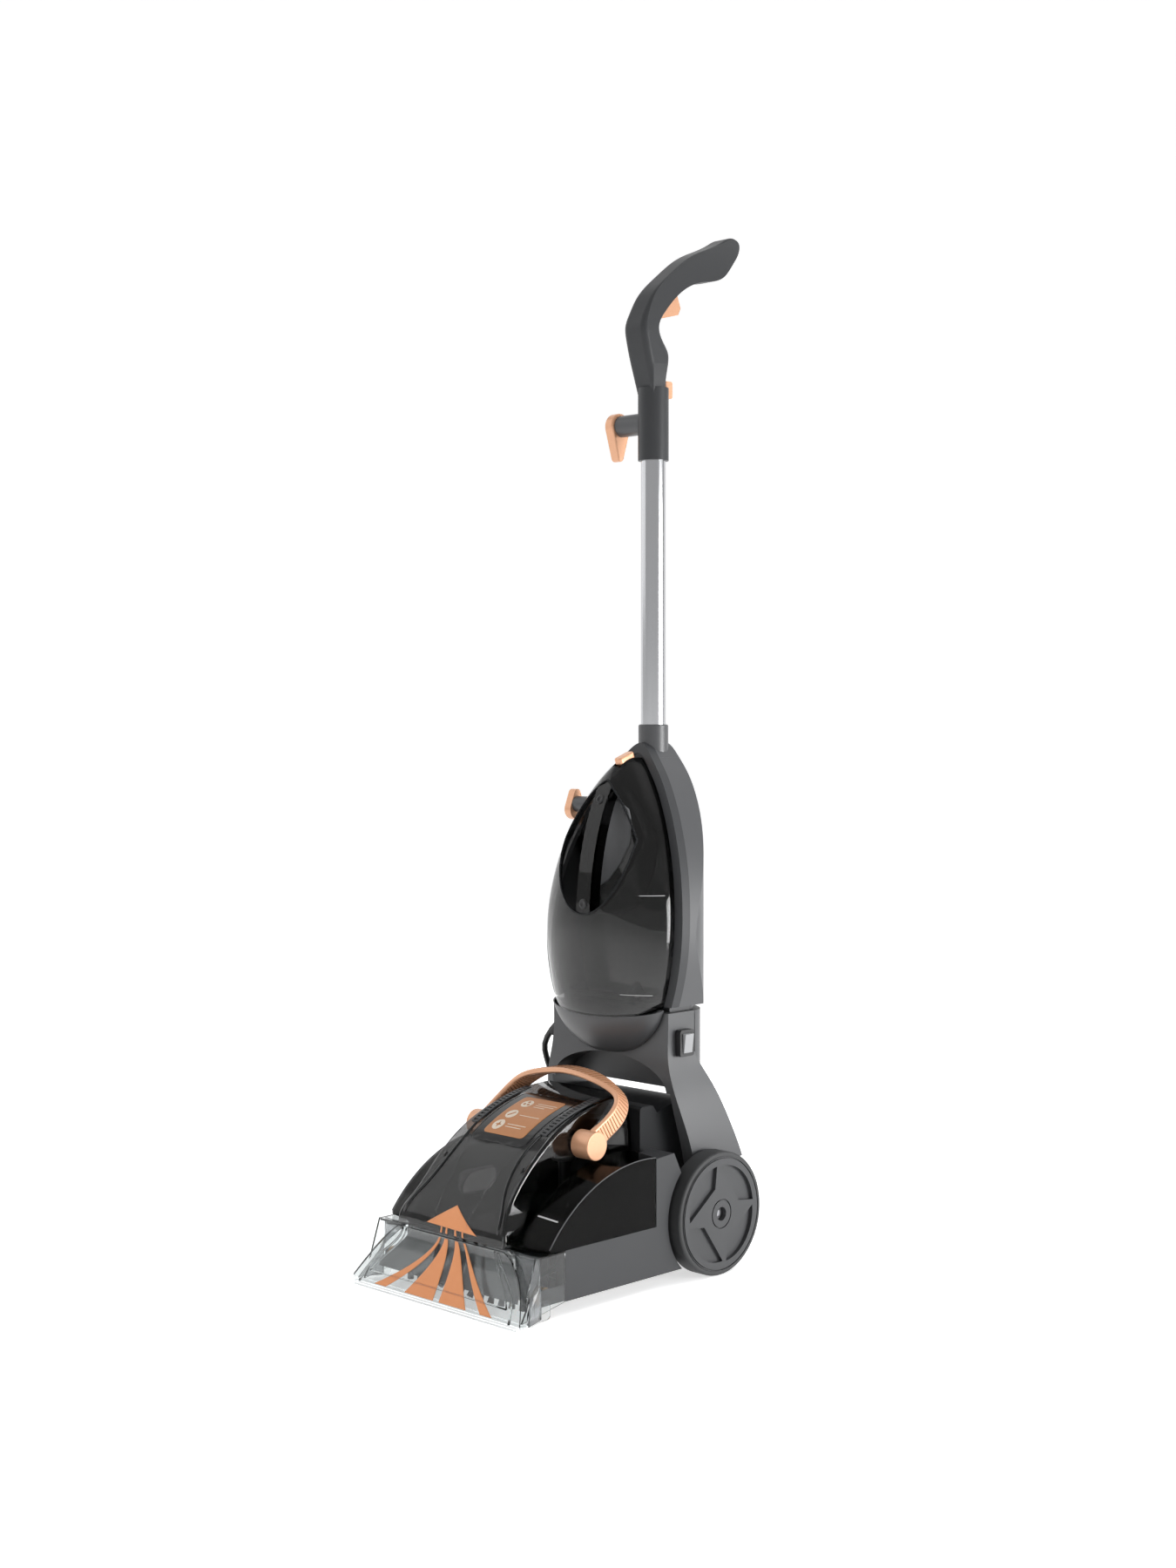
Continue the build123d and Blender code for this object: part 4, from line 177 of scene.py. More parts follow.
def rod(work, line, radius, sides):
    rings = []
    across = Vector((0, 1, 0))
    for at, point in enumerate(line):
        ahead = line[min(at + 1, len(line) - 1)] - line[max(at - 1, 0)]
        ahead.normalize()
        if abs(across.dot(ahead)) > NEARLY_ALONG:
            across = ahead.orthogonal()
        across = (across - ahead * across.dot(ahead)).normalized()
        upward = ahead.cross(across)
        angles = [2 * pi * side / sides for side in range(sides)]
        rings.append([work.verts.new(point + (across * cos(a) + upward * sin(a)) * radius) for a in angles])
    for here, there in zip(rings, rings[1:]):
        for side in range(sides):
            nxt = (side + 1) % sides
            work.faces.new((here[side], here[nxt], there[nxt], there[side]))
    work.faces.new(rings[0][::-1])
    work.faces.new(rings[-1])


def tube(name, line, radius, sides=14):
    work = bmesh.new()
    rod(work, line, radius, sides)
    return finish_mesh(name, work, smooth=True)


print("shapes ready")

# %% [markdown]
# ## The mains cord
# A mains lead of about 5 m leaves the left wall of the body through a tapered relief, drops behind the left
# wheel and is put away as a tied coil behind the machine. It is one flexible thing, so it is one smooth
# spline: a few listed points for the free run, then the coil's turns from a loop. A tube of plain rings
# follows points read from that spline.

# %% The cord's route
CORD_D = 6.6
CORD_GAP = 0.3
CORD_EXIT = Vector((-92.8, 50.0, 250.0))
CORD_AIM = Vector((-0.77, 0.0, -0.64)).normalized()
RELIEF_R = 7.5
RELIEF_L = 30.0
CORD_RUN = [
    (-125.5, 57.0, 195.0), (-126.5, 72.0, 168.0), (-124.0, 95.0, 143.0), (-119.0, 119.0, 116.0),
    (-113.0, 142.0, 86.0), (-106.0, 163.0, 58.0), (-100.5, 184.0, 38.0),
]
COIL_CENTRE = (-30.0, 212.0)
COIL_START = 160.0
COIL_IN_R = 27.5
COIL_PITCH = 8.0
COIL_TURNS = 4
COIL_LAYERS = 4
COIL_LAYER_H = 7.4
COIL_LOW_Z = 4.9
TAIL_R = 40.0
TAIL_TURN = 40.0
COIL_STEPS = 8
TINY = 1e-6


def coil_point(half):
    halves = 2 * COIL_TURNS
    layer = min(int(half // (halves + 1)), COIL_LAYERS - 1)
    within = half - layer * (halves + 1)
    flat = min(within, halves)
    climb = max(0.0, within - halves)
    out_r = COIL_IN_R + COIL_PITCH * COIL_TURNS
    inward = out_r - COIL_PITCH / 2 * flat
    reach = inward if layer % 2 == 0 else out_r + COIL_IN_R - inward
    top = COIL_LOW_Z + (COIL_LAYERS - 1) * COIL_LAYER_H
    height = top - COIL_LAYER_H * (layer + (1 - cos(pi * climb)) / 2)
    turn = radians(COIL_START - 180 * half)
    return Vector((COIL_CENTRE[0] + reach * cos(turn), COIL_CENTRE[1] + reach * sin(turn), height))


def cord_route():
    halves = COIL_LAYERS * 2 * COIL_TURNS + COIL_LAYERS - 1
    coil = [coil_point(step / COIL_STEPS) for step in range(halves * COIL_STEPS)]
    coil.append(coil_point(halves - TINY))
    entry = (coil[1] - coil[0]).normalized()
    route = [CORD_EXIT + CORD_AIM * (RELIEF_R + CORD_GAP), CORD_EXIT + CORD_AIM * (RELIEF_L + 2 * CORD_D)]
    route += [Vector(point) for point in CORD_RUN]
    route += [coil[0] - entry * 4 * CORD_D, coil[0] - entry * CORD_D]
    route += coil
    aim = (coil[-1] - coil[-2]).normalized()
    for share in (0.5, 1.0):
        turn = Matrix.Rotation(radians(TAIL_TURN * share / 2), 3, "Z")
        chord = 2 * TAIL_R * sin(radians(TAIL_TURN * share / 2))
        route.append(coil[-1] + turn @ aim * chord)
    return [point * MM for point in route]


route_points = cord_route()
print("cord route of", len(route_points), "points")

# %% [markdown]
# The lead is one tube along that spline, with its real thickness, and the CAD pieces of the cord and its
# coil are hidden.

# %% The cord
cord_line = smooth_line(route_points)
mains_lead = tube("mains_lead", cord_line, CORD_D / 2 * MM)
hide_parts("mains_cord", "cord_coil")
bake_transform(mains_lead)

# %% [markdown]
# ## Case of moulded ABS
# The case, wheels and handle are ABS from a lightly etched mould. One flat grey would look like clay, so
# broad cloudy noise varies colour and roughness a little, and fine noise gives the grain as a bump. Gloss
# is Blender's specular level, 0.5 for a smooth moulding and less for a matt one. Real grain is finer than a
# pixel, so it is drawn 0.9 mm wide, coarse enough to show.

# %% Moulded ABS
CLOUD_MM = 60.0
GRAIN_MM = 0.9


def moulded_abs(name, code, dark, roughness, gloss=0.5):
    # ABS from a lightly etched mould: soft broad highlights, tiny even grain, faint cloudy flow marks.
    made, tree, output = new_material(name)
    place = add(tree, "ShaderNodeTexCoord")
    spot = [("Vector", place.outputs["Object"])]
    cloud = add(tree, "ShaderNodeTexNoise", spot, Scale=per_mm(CLOUD_MM), Detail=2.0)
    mix = add(
        tree, "ShaderNodeMix", [("Factor", cloud.outputs["Fac"])],
        data_type="RGBA", A=colour(code), B=colour(dark),
    )
    speck = add(tree, "ShaderNodeTexNoise", spot, Scale=per_mm(GRAIN_MM), Detail=3.0)
    bump = add(tree, "ShaderNodeBump", [("Height", speck.outputs["Fac"])], Strength=0.06, Distance=0.0003)
    rough = add(
        tree, "ShaderNodeMapRange", [("Value", cloud.outputs["Fac"])],
        To_Min=roughness - 0.04, To_Max=roughness + 0.05,
    )
    shader = add(
        tree, "ShaderNodeBsdfPrincipled",
        [
            ("Base Color", mix.outputs["Result"]), ("Normal", bump.outputs["Normal"]),
            ("Roughness", rough.outputs["Result"]),
        ],
        IOR=1.52, Specular_IOR_Level=gloss,
    )
    tree.links.new(shader.outputs["BSDF"], output.inputs["Surface"])
    return made


grey_abs = moulded_abs("moulded_grey_abs", "#525355", "#4c4d4f", 0.36)
dark_abs = moulded_abs("moulded_dark_abs", "#424345", "#3d3e40", 0.42, gloss=0.4)
tower_abs = moulded_abs("moulded_tower_abs", "#222325", "#1e1f21", 0.45, gloss=0.15)
charcoal_abs = moulded_abs("moulded_charcoal_abs", "#3f4042", "#3a3b3d", 0.42, gloss=0.3)
black_abs = moulded_abs("moulded_black_abs", "#1c1c1e", "#171719", 0.4)
pale_abs = moulded_abs("moulded_pale_abs", "#a9aaac", "#a0a1a3", 0.35)
dress(
    grey_abs, "lower_body", "rear_cover", "rear_shell", "hook_post", "lower_post", "neck_collar", "tank_bowl",
)
dress(charcoal_abs, "handle_shell_left", "handle_shell_right", "front_frame", "base_chassis")
dress(dark_abs, "base_plate", "wheel_left", "wheel_right", "hood_vents", "tank_float")
dress(tower_abs, "base_tower")
dress(
    black_abs, "switch_bezel", "brush_roll", "float_guide", "outlet_cup", "solution_valve", "suction_fan",
    "mains_plug",
)
dress(pale_abs, "switch_rocker")
print("ABS on the case")

# %% [markdown]
# ## Tanks of smoked polycarbonate
# The tanks, hood and nozzle are polished polycarbonate, clear or with a black dye. Dark glossy paint would
# look much the same from the front, but dyed plastic is darker where it is thick, and lets things show
# through where it is thin. A shader with full transmission and an absorbing inside does that by itself: the
# density sets how fast it darkens. The IOR sets how strongly it mirrors the studio. The real plastic has
# 1.58, and these pieces take less, because the photograph shows weak reflections on them. A clarity below 1
# mixes in some milky plastic.

# %% Smoked and clear polycarbonate
WAVE_MM = 45.0


def dyed_polycarbonate(name, tint, dye, density, roughness, ior, clarity=1.0):
    # Polished polycarbonate: sharp reflections with a slow ripple, see-through, and darker where it is thick.
    made, tree, output = new_material(name)
    place = add(tree, "ShaderNodeTexCoord")
    spot = [("Vector", place.outputs["Object"])]
    wave = add(tree, "ShaderNodeTexNoise", spot, Scale=per_mm(WAVE_MM), Detail=1.0)
    bump = add(tree, "ShaderNodeBump", [("Height", wave.outputs["Fac"])], Strength=0.05, Distance=0.001)
    shader = add(
        tree, "ShaderNodeBsdfPrincipled", [("Normal", bump.outputs["Normal"])],
        Base_Color=colour(tint), Roughness=roughness, IOR=ior, Transmission_Weight=clarity,
    )
    tree.links.new(shader.outputs["BSDF"], output.inputs["Surface"])
    inside = add(tree, "ShaderNodeVolumeAbsorption", Color=colour(dye), Density=density)
    tree.links.new(inside.outputs["Volume"], output.inputs["Volume"])
    return made


smoked = dyed_polycarbonate("smoked_polycarbonate", "#f4f4f4", "#2c2c2e", 240.0, 0.04, ior=1.45)
tank_smoke = dyed_polycarbonate("tank_polycarbonate", "#f4f4f4", "#2c2c2e", 300.0, 0.04, ior=1.45)
clear = dyed_polycarbonate("clear_polycarbonate", "#f6f8f8", "#c9cdcf", 60.0, 0.04, ior=1.5)
deep_smoked = dyed_polycarbonate("deep_smoked_polycarbonate", "#f0f0f0", "#1c1c1e", 900.0, 0.05, ior=1.2)
hazy = dyed_polycarbonate("hazy_polycarbonate", "#c4c7c9", "#c9cdcf", 60.0, 0.12, ior=1.5, clarity=0.75)
dress(smoked, "tank_hood")
dress(tank_smoke, "clean_tank", "tank_grip")
dress(deep_smoked, "recovery_tank")
dress(clear, "suction_nozzle")
print("tanks and nozzle")

# %% [markdown]
# ## Rose-gold trim
# The strap, hooks, latch and trigger are ABS with a sprayed metallic lacquer, tiny flakes under a satin
# coat. A plain metal would be too much of a mirror, so the shader is only partly metallic, and a pattern of
# cells varies its colour and tilt. Real flakes are finer than a pixel, so they are drawn half a millimetre
# wide. The second, deeper colour is painted shade for the fine ribs: it stands in for the shadow in the
# grooves between them, without which they would not show up in the colour of the strap itself.

# %% Rose-gold coat
FLAKE_MM = 0.5


def metallic_coat(name, light, deep):
    # Sprayed metallic lacquer: warm metal colour, soft highlight and a fine glitter of flakes.
    made, tree, output = new_material(name)
    place = add(tree, "ShaderNodeTexCoord")
    flakes = add(tree, "ShaderNodeTexVoronoi", [("Vector", place.outputs["Object"])], Scale=per_mm(FLAKE_MM))
    mix = add(
        tree, "ShaderNodeMix", [("Factor", flakes.outputs["Distance"])],
        data_type="RGBA", A=colour(light), B=colour(deep),
    )
    height = [("Height", flakes.outputs["Distance"])]
    bump = add(tree, "ShaderNodeBump", height, Strength=0.05, Distance=0.0002)
    shader = add(
        tree, "ShaderNodeBsdfPrincipled",
        [("Base Color", mix.outputs["Result"]), ("Normal", bump.outputs["Normal"])],
        Metallic=0.35, Roughness=0.36, Coat_Weight=0.3, Coat_Roughness=0.2,
    )
    tree.links.new(shader.outputs["BSDF"], output.inputs["Surface"])
    return made


rose_gold = metallic_coat("rose_gold_lacquer", "#f3bd98", "#e9ab83")
# The ribs' deeper colour is painted shade, standing in for the shadow in the grooves between them.
rib_painted_shade = metallic_coat("rose_gold_painted_shade", "#bf8359", "#b0744b")
dress(
    rose_gold, "carry_handle", "carry_caps", "tank_latch", "trigger", "upper_hook", "lower_hook",
    "cable_clip",
)
print("rose-gold trim")

# %% [markdown]
# ## Metals
# The tube is chromed steel, the axle and motors are turned steel, and the bearings are sintered bronze. A
# bare metal takes its colour from the metal itself, so the shader is fully metallic. An image of brushed
# metal would need UVs, so noise that is stretched forty times along z gives the streaks that polishing
# leaves. They are drawn up to 0.8 mm wide, coarser than real ones, so that they show.

# %% Metals
STREAK_STRETCH = 40


def bare_metal(name, light, deep, roughness, streak):
    # Polished or turned metal: colour from the metal itself, fine streaks along the tool's path.
    made, tree, output = new_material(name)
    place = add(tree, "ShaderNodeTexCoord")
    stretch = add(
        tree, "ShaderNodeMapping", [("Vector", place.outputs["Object"])],
        Scale=(per_mm(streak), per_mm(streak), per_mm(streak * STREAK_STRETCH)),
    )
    lines = add(tree, "ShaderNodeTexNoise", [("Vector", stretch.outputs["Vector"])], Scale=1.0, Detail=2.0)
    mix = add(
        tree, "ShaderNodeMix", [("Factor", lines.outputs["Fac"])],
        data_type="RGBA", A=colour(light), B=colour(deep),
    )
    rough = add(
        tree, "ShaderNodeMapRange", [("Value", lines.outputs["Fac"])],
        To_Min=roughness * 0.8, To_Max=roughness * 1.3,
    )
    shader = add(
        tree, "ShaderNodeBsdfPrincipled",
        [("Base Color", mix.outputs["Result"]), ("Roughness", rough.outputs["Result"])],
        Metallic=1.0,
    )
    tree.links.new(shader.outputs["BSDF"], output.inputs["Surface"])
    return made


chrome = bare_metal("chromed_steel", "#cfd0d2", "#c4c5c8", 0.16, 0.8)
steel = bare_metal("turned_steel", "#b4b5b8", "#a3a4a8", 0.3, 0.5)
bronze = bare_metal("sintered_bronze", "#b08a4e", "#9a7640", 0.4, 0.5)
dress(chrome, "handle_tube")
dress(
    steel, "rear_axle", "axle_clips", "push_rod", "trigger_pin", "carry_pins", "brush_motor", "suction_motor",
)
dress(bronze, "brush_bearings", "motor_pulley")
print("metals")

# %% [markdown]
# ## Rubber, PVC and nylon
# Tyres and seals are rubber, the cord is PVC and the bristles are nylon. All are nearly black and dull, and
# an uneven dusty bloom and a fine texture tell them from black paint. One noise gives the bloom as colour
# and a finer one the texture as a bump, so one function serves all four. The texture is drawn 0.8 mm wide,
# coarser than it is, so that it shows.

# %% Rubber and nylon
BLOOM_MM = 14.0
PORE_MM = 0.8


def rubber_skin(name, code, dark, roughness):
    # Rubber, PVC and nylon: nearly black, dull, with a dusty uneven bloom.
    made, tree, output = new_material(name)
    place = add(tree, "ShaderNodeTexCoord")
    spot = [("Vector", place.outputs["Object"])]
    bloom = add(tree, "ShaderNodeTexNoise", spot, Scale=per_mm(BLOOM_MM), Detail=4.0)
    mix = add(
        tree, "ShaderNodeMix", [("Factor", bloom.outputs["Fac"])],
        data_type="RGBA", A=colour(code), B=colour(dark),
    )
    fine = add(tree, "ShaderNodeTexNoise", spot, Scale=per_mm(PORE_MM), Detail=2.0)
    bump = add(tree, "ShaderNodeBump", [("Height", fine.outputs["Fac"])], Strength=0.12, Distance=0.0003)
    shader = add(
        tree, "ShaderNodeBsdfPrincipled",
        [("Base Color", mix.outputs["Result"]), ("Normal", bump.outputs["Normal"])],
        Roughness=roughness,
    )
    tree.links.new(shader.outputs["BSDF"], output.inputs["Surface"])
    return made


tyre_rubber = rubber_skin("tyre_rubber", "#3a3b3c", "#333435", 0.6)
black_rubber = rubber_skin("seal_rubber", "#1d1d1e", "#151516", 0.55)
cord_pvc = rubber_skin("cord_pvc", "#161617", "#101011", 0.42)
nylon = rubber_skin("bristle_nylon", "#2b2b2d", "#202022", 0.5)
dress(tyre_rubber, "tyre_left", "tyre_right")
dress(black_rubber, "port_seal", "drive_belt", "strain_relief", "tank_valve")
dress(cord_pvc, "mains_lead", "cord_tie")
dress(nylon, "brush_bristles")
print("rubber and nylon")

# %% [markdown]
# ## Printed films
# Labels and marks are printed on the hood, the nozzle and the tanks. They could be painted in the material
# of each tank, but that needs a map of its surface, and gives no edge. A film is a thin sheet that follows
# the moulding, so each one is drawn flat, cut into small triangles, let down onto the surface along one
# direction and given a thickness.


# %% Laying a film on a moulding
def skin_of(name):
    data = nodes[name].data
    return BVHTree.FromPolygons([v.co for v in data.vertices], [list(p.vertices) for p in data.polygons])


def settle(skin, start, aim, lift):
    spot, normal, _, _ = skin.ray_cast(start, aim)
    if spot is None:
        spot, normal, _, _ = skin.find_nearest(start)
    return spot - normal * lift if normal.dot(aim) > 0 else spot + normal * lift


CUT_ROUNDS = 6


def film(name, shapes, skin, place, aim, lift=0.15, thick=0.1, step=3.0):
    work = bmesh.new()
    for shape in shapes:
        work.faces.new([work.verts.new((a * MM, b * MM, 0)) for a, b in shape])
    bmesh.ops.triangulate(work, faces=work.faces[:])
    for _ in range(CUT_ROUNDS):
        wide = [edge for edge in work.edges if edge.calc_length() > step * MM]
        if wide:
            bmesh.ops.subdivide_edges(work, edges=wide, cuts=1)
            bmesh.ops.triangulate(work, faces=work.faces[:])
    for vertex in work.verts:
        vertex.co = settle(skin, place(vertex.co.x, vertex.co.y), aim, lift * MM)
    piece = finish_mesh(name, work, smooth=True)
    sheet = piece.modifiers.new("thickness", "SOLIDIFY")
    sheet.thickness = thick * MM
    sheet.offset = 0.0
    return piece


print("films are cut in up to", CUT_ROUNDS, "rounds")

# %% [markdown]
# ## Label on the hood
# The hood carries a copper label on a black bed, with pale discs, plain lines and small copper motifs. One
# film with a pattern for all of it would need a drawing in its material, so each ink is a film of its own.
# Each is laid a little higher than the one below it, because two films at one height would show through
# each other.

# %% Foils and inks
INK_CLOUD_MM = 8.0


def printed_film(name, code, dark, roughness, metallic):
    # Foil or screen ink on polyester film: even colour with a faint cloud, satin, no grain.
    made, tree, output = new_material(name)
    place = add(tree, "ShaderNodeTexCoord")
    spot = [("Vector", place.outputs["Object"])]
    cloud = add(tree, "ShaderNodeTexNoise", spot, Scale=per_mm(INK_CLOUD_MM), Detail=3.0)
    mix = add(
        tree, "ShaderNodeMix", [("Factor", cloud.outputs["Fac"])],
        data_type="RGBA", A=colour(code), B=colour(dark),
    )
    shader = add(
        tree, "ShaderNodeBsdfPrincipled", [("Base Color", mix.outputs["Result"])],
        Roughness=roughness, Metallic=metallic,
    )
    tree.links.new(shader.outputs["BSDF"], output.inputs["Surface"])
    return made


copper_foil = printed_film("copper_foil", "#c98b5c", "#bd7f50", 0.4, 0.25)
pale_ink = printed_film("pale_ink", "#f1e3d2", "#ead9c4", 0.5, 0.0)
white_ink = printed_film("white_ink", "#d8d8d8", "#cccccc", 0.5, 0.0)
orange_ink = printed_film("orange_ink", "#f2a36f", "#ee9c66", 0.5, 0.0)
black_film = printed_film("black_film", "#0d0d0e", "#0a0a0b", 0.12, 0.0)
print("foil and inks")

# %% Outlines of the label
LABEL = (-30.0, -130.5, 30.0, -66.0)
LABEL_CORNER = 5.0
BED = (-41.0, -139.5, 41.0, -56.0)
BED_CORNER = 8.0
DISCS = ((-15.0, -80.0), (-16.5, -101.0), (-18.0, -118.5))
DISC_R = 7.0
LABEL_ROWS = (
    (-2.0, 26.0, -77.0), (-2.0, 24.0, -80.5), (-2.0, 14.0, -84.0), (-5.0, 24.0, -101.0),
    (-7.0, 20.0, -116.0), (-7.0, 16.0, -119.5),
)
ROW_H = 0.9
DROP_R = 1.7
DROP_REACH = 3.2
DROP_TURNS = (90, 210, 330)
SLASH = ((-20.5, -103.5), (-19.0, -105.0), (-12.5, -98.5), (-14.0, -97.0))
STAR_REACH = (4.2, 1.6)
STAR_CORNERS = 8


def rounded(left, low, right, high, corner, steps=5):
    spots = []
    corners = ((right, high, 0), (left, high, 90), (left, low, 180), (right, low, 270))
    for x, y, start in corners:
        centre = (x - corner if x == right else x + corner, y - corner if y == high else y + corner)
        for step in range(steps + 1):
            turn = radians(start + 90 * step / steps)
            spots.append((centre[0] + corner * cos(turn), centre[1] + corner * sin(turn)))
    return spots


def disc(x, y, radius, sides=28):
    turns = [2 * pi * k / sides for k in range(sides)]
    return [(x + radius * cos(turn), y + radius * sin(turn)) for turn in turns]


def oblong(left, right, low, high):
    return [(left, low), (right, low), (right, high), (left, high)]


def around(centre, reach, turn):
    return centre[0] + reach * cos(radians(turn)), centre[1] + reach * sin(radians(turn))


print("outlines of", len(DISCS), "discs and", len(LABEL_ROWS), "lines")

# %% Label on the hood
START_HIGH = 300.0


def from_above(x, y):
    return Vector((x, y, START_HIGH * MM))


def laid(piece, material, body):
    piece.data.materials.append(material)
    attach(piece, body)


ABOVE = (from_above, Vector((0, 0, -1)))
hood_skin = skin_of("tank_hood")
bed = film("label_bed", [rounded(*BED, BED_CORNER)], hood_skin, *ABOVE, lift=0.1)
laid(bed, black_film, "dirty_tank")
label = film("hood_label", [rounded(*LABEL, LABEL_CORNER)], hood_skin, *ABOVE, lift=0.3)
laid(label, copper_foil, "dirty_tank")
rows = [oblong(a, b, y - ROW_H / 2, y + ROW_H / 2) for a, b, y in LABEL_ROWS]
pale_marks = [disc(x, y, DISC_R) for x, y in DISCS] + rows
marks = film("label_marks", pale_marks, hood_skin, *ABOVE, lift=0.45)
laid(marks, pale_ink, "dirty_tank")
drops = [disc(*around(DISCS[0], DROP_REACH, turn), DROP_R) for turn in DROP_TURNS]
star = [around(DISCS[2], STAR_REACH[k % 2], 360 / STAR_CORNERS * k) for k in range(STAR_CORNERS)]
motifs = film("label_motifs", drops + [SLASH, star], hood_skin, *ABOVE, lift=0.6)
laid(motifs, copper_foil, "dirty_tank")
print("label laid")

# %% [markdown]
# ## Flow arrow
# A plain orange arrow shows where the water goes: four bands rise from the lip over the nozzle and meet
# under one arrow head on the hood. The hood lifts off with its tank, so the head and the bands' upper ends
# are on the hood, and the rest is on the nozzle. Both are let down from the front, so that the two parts of
# each band meet.

# %% Flow arrow
HEAD = ((0.5, 95.0), (-34.0, 74.5), (41.0, 72.6))
BANDS = (
    (-11.0, -89.0, -71.0, 1.7), (-3.5, -42.0, 1.5, 1.5), (9.5, 10.0, 50.0, 1.5), (20.0, 70.5, 87.5, 1.7),
)
BAND_TOP = 73.0
BAND_LOW = 6.0
BAND_HALF = 1.2
BAND_LAP = 0.6
HOOD_EDGE_Z = 67.6
NOZZLE_EDGE_Z = 62.4
START_FRONT = -400.0


def from_front(x, z):
    return Vector((x, START_FRONT * MM, z))


def band(top, left, right, bend, low, high, steps=12):
    sides = ([], [])
    for step in range(steps + 1):
        z = high + (low - high) * step / steps
        share = max(0.0, (BAND_TOP - z) / (BAND_TOP - BAND_LOW)) ** bend
        sides[0].append((top - BAND_HALF + (left - top + BAND_HALF) * share, z))
        sides[1].append((top + BAND_HALF + (right - top - BAND_HALF) * share, z))
    return sides[0] + sides[1][::-1]


FRONT = (from_front, Vector((0, 1, 0)))
nozzle_skin = skin_of("suction_nozzle")
hood_bands = [band(*spec, HOOD_EDGE_Z, BAND_TOP + BAND_LAP) for spec in BANDS]
head = film("arrow_head", [HEAD] + hood_bands, hood_skin, *FRONT, lift=0.2)
laid(head, orange_ink, "dirty_tank")
nozzle_bands = [band(*spec, BAND_LOW, NOZZLE_EDGE_Z) for spec in BANDS]
tails = film("arrow_bands", nozzle_bands, nozzle_skin, *FRONT, lift=0.2)
laid(tails, orange_ink, "base")
print("arrow laid")

# %% [markdown]
# ## Level lines
# Thin white lines on the tanks show how far to fill them. They are prints, so they are films like the
# label. Those of the upper tank are let down from the front corner, which its wall faces, and the one on
# the lower tank's lobe from above. From the front they would be stretched where the walls turn away.

# %% Level lines
TANK_LINES = ((50.0, 77.0, 397.5), (30.0, 64.0, 292.5))
LOBE_LINE = ((84.0, -161.4), (110.0, -159.4), (110.0, -158.2), (84.0, -160.2))
LINE_H = 0.6
START_CORNER = 300.0
DIAGONAL = 0.7071


def from_corner(along, z):
    return Vector((along, along, 0)) * DIAGONAL + Vector((START_CORNER * MM, -START_CORNER * MM, z))


CORNER = (from_corner, Vector((-DIAGONAL, DIAGONAL, 0)))
tank_skin = skin_of("clean_tank")
lines = [oblong(a, b, z - LINE_H / 2, z + LINE_H / 2) for a, b, z in TANK_LINES]
tank_lines = film("tank_level_lines", lines, tank_skin, *CORNER, lift=0.15)
laid(tank_lines, white_ink, "water_tank")
lobe_skin = skin_of("recovery_tank")
lobe_line = film("lobe_level_line", [LOBE_LINE], lobe_skin, *ABOVE, lift=0.15)
laid(lobe_line, white_ink, "dirty_tank")
print("level lines laid")

# %% [markdown]
# ## Ribs on the hood
# Raised black beads frame the hood's front panel and two fine smoked ones run down it. A bump in the
# material would not change the hood's outline, so each bead is a small round rod whose points are laid on
# the moulding.

# %% Ribs on the hood
HANDS = ((1, "right"), (-1, "left"))
RIDGES = (
    (1.5, black_film, (
        (54.0, -60.0), (53.0, -90.0), (49.0, -112.0), (46.0, -148.0), (52.0, -176.0), (66.0, -193.0),
        (70.0, -202.0),
    )),
    (0.7, smoked, ((39.0, -140.0), (33.0, -160.0), (28.5, -173.0), (26.0, -193.0), (24.0, -202.5))),
)


def bead(name, spots, radius, skin, place, aim, sides=10):
    line = smooth_line([place(a * MM, b * MM) for a, b in spots])
    laid_line = [settle(skin, point, aim, 0.0) for point in line]
    return tube(name, laid_line, radius * MM, sides)


for number, (radius, finish, spots) in enumerate(RIDGES):
    for side, hand in HANDS:
        mirrored = [(side * x, y) for x, y in spots]
        ridge = bead(f"hood_ridge_{number}_{hand}", mirrored, radius, hood_skin, *ABOVE)
        laid(ridge, finish, "dirty_tank")
print("hood ribs laid")

# %% [markdown]
# ## Mould marks on the hood
# Two small raised crosses stand on the hood's shoulders, one on each side, like marks that line up a mould.
# A cross of two boxes would stand off the curved hood, so each is one outline, laid as a film half a
# millimetre thick.

# %% Mould marks on the hood
CROSSES = ((-55.5, -158.7), (60.0, -158.9))
CROSS_REACH = 2.4
CROSS_HALF = 0.4


def cross(x, y, reach, half):
    arm = [(half, half), (half, reach), (-half, reach)]
    turns = [(1, 0, 0, 1), (0, -1, 1, 0), (-1, 0, 0, -1), (0, 1, -1, 0)]
    return [(x + a * u + b * v, y + c * u + d * v) for a, b, c, d in turns for u, v in arm]


cross_shapes = [cross(x, y, CROSS_REACH, CROSS_HALF) for x, y in CROSSES]
crosses = film("hood_crosses", cross_shapes, hood_skin, *ABOVE, lift=0.3, thick=0.5)
laid(crosses, black_film, "dirty_tank")
print("crosses", len(CROSSES))

# %% [markdown]
# ## Rim of the tank's pocket
# Where the pocket's wall meets the tank's front, the smoked plastic is seen end-on and looks black. A thin
# bead along that edge draws the line. The edge is found in the moulding itself: it is where two faces meet
# at more than a given angle, inside the pocket's box, with nothing in front of it. The box ends below the
# latch, which needs room to be pressed.

# %% Rim of the tank's pocket
RIM_R = 1.1
RIM_ANGLE = radians(25)
LATCH_ROOM = 5.0
latch_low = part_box("tank_latch")[0]
RIM_BOX = ((-75.0, -20.0, 372.0), (75.0, 60.0, latch_low.z / MM - LATCH_ROOM))
RIM_VIEW = Vector((0.35, -0.9, 0.25))
RIM_SIDES = 8


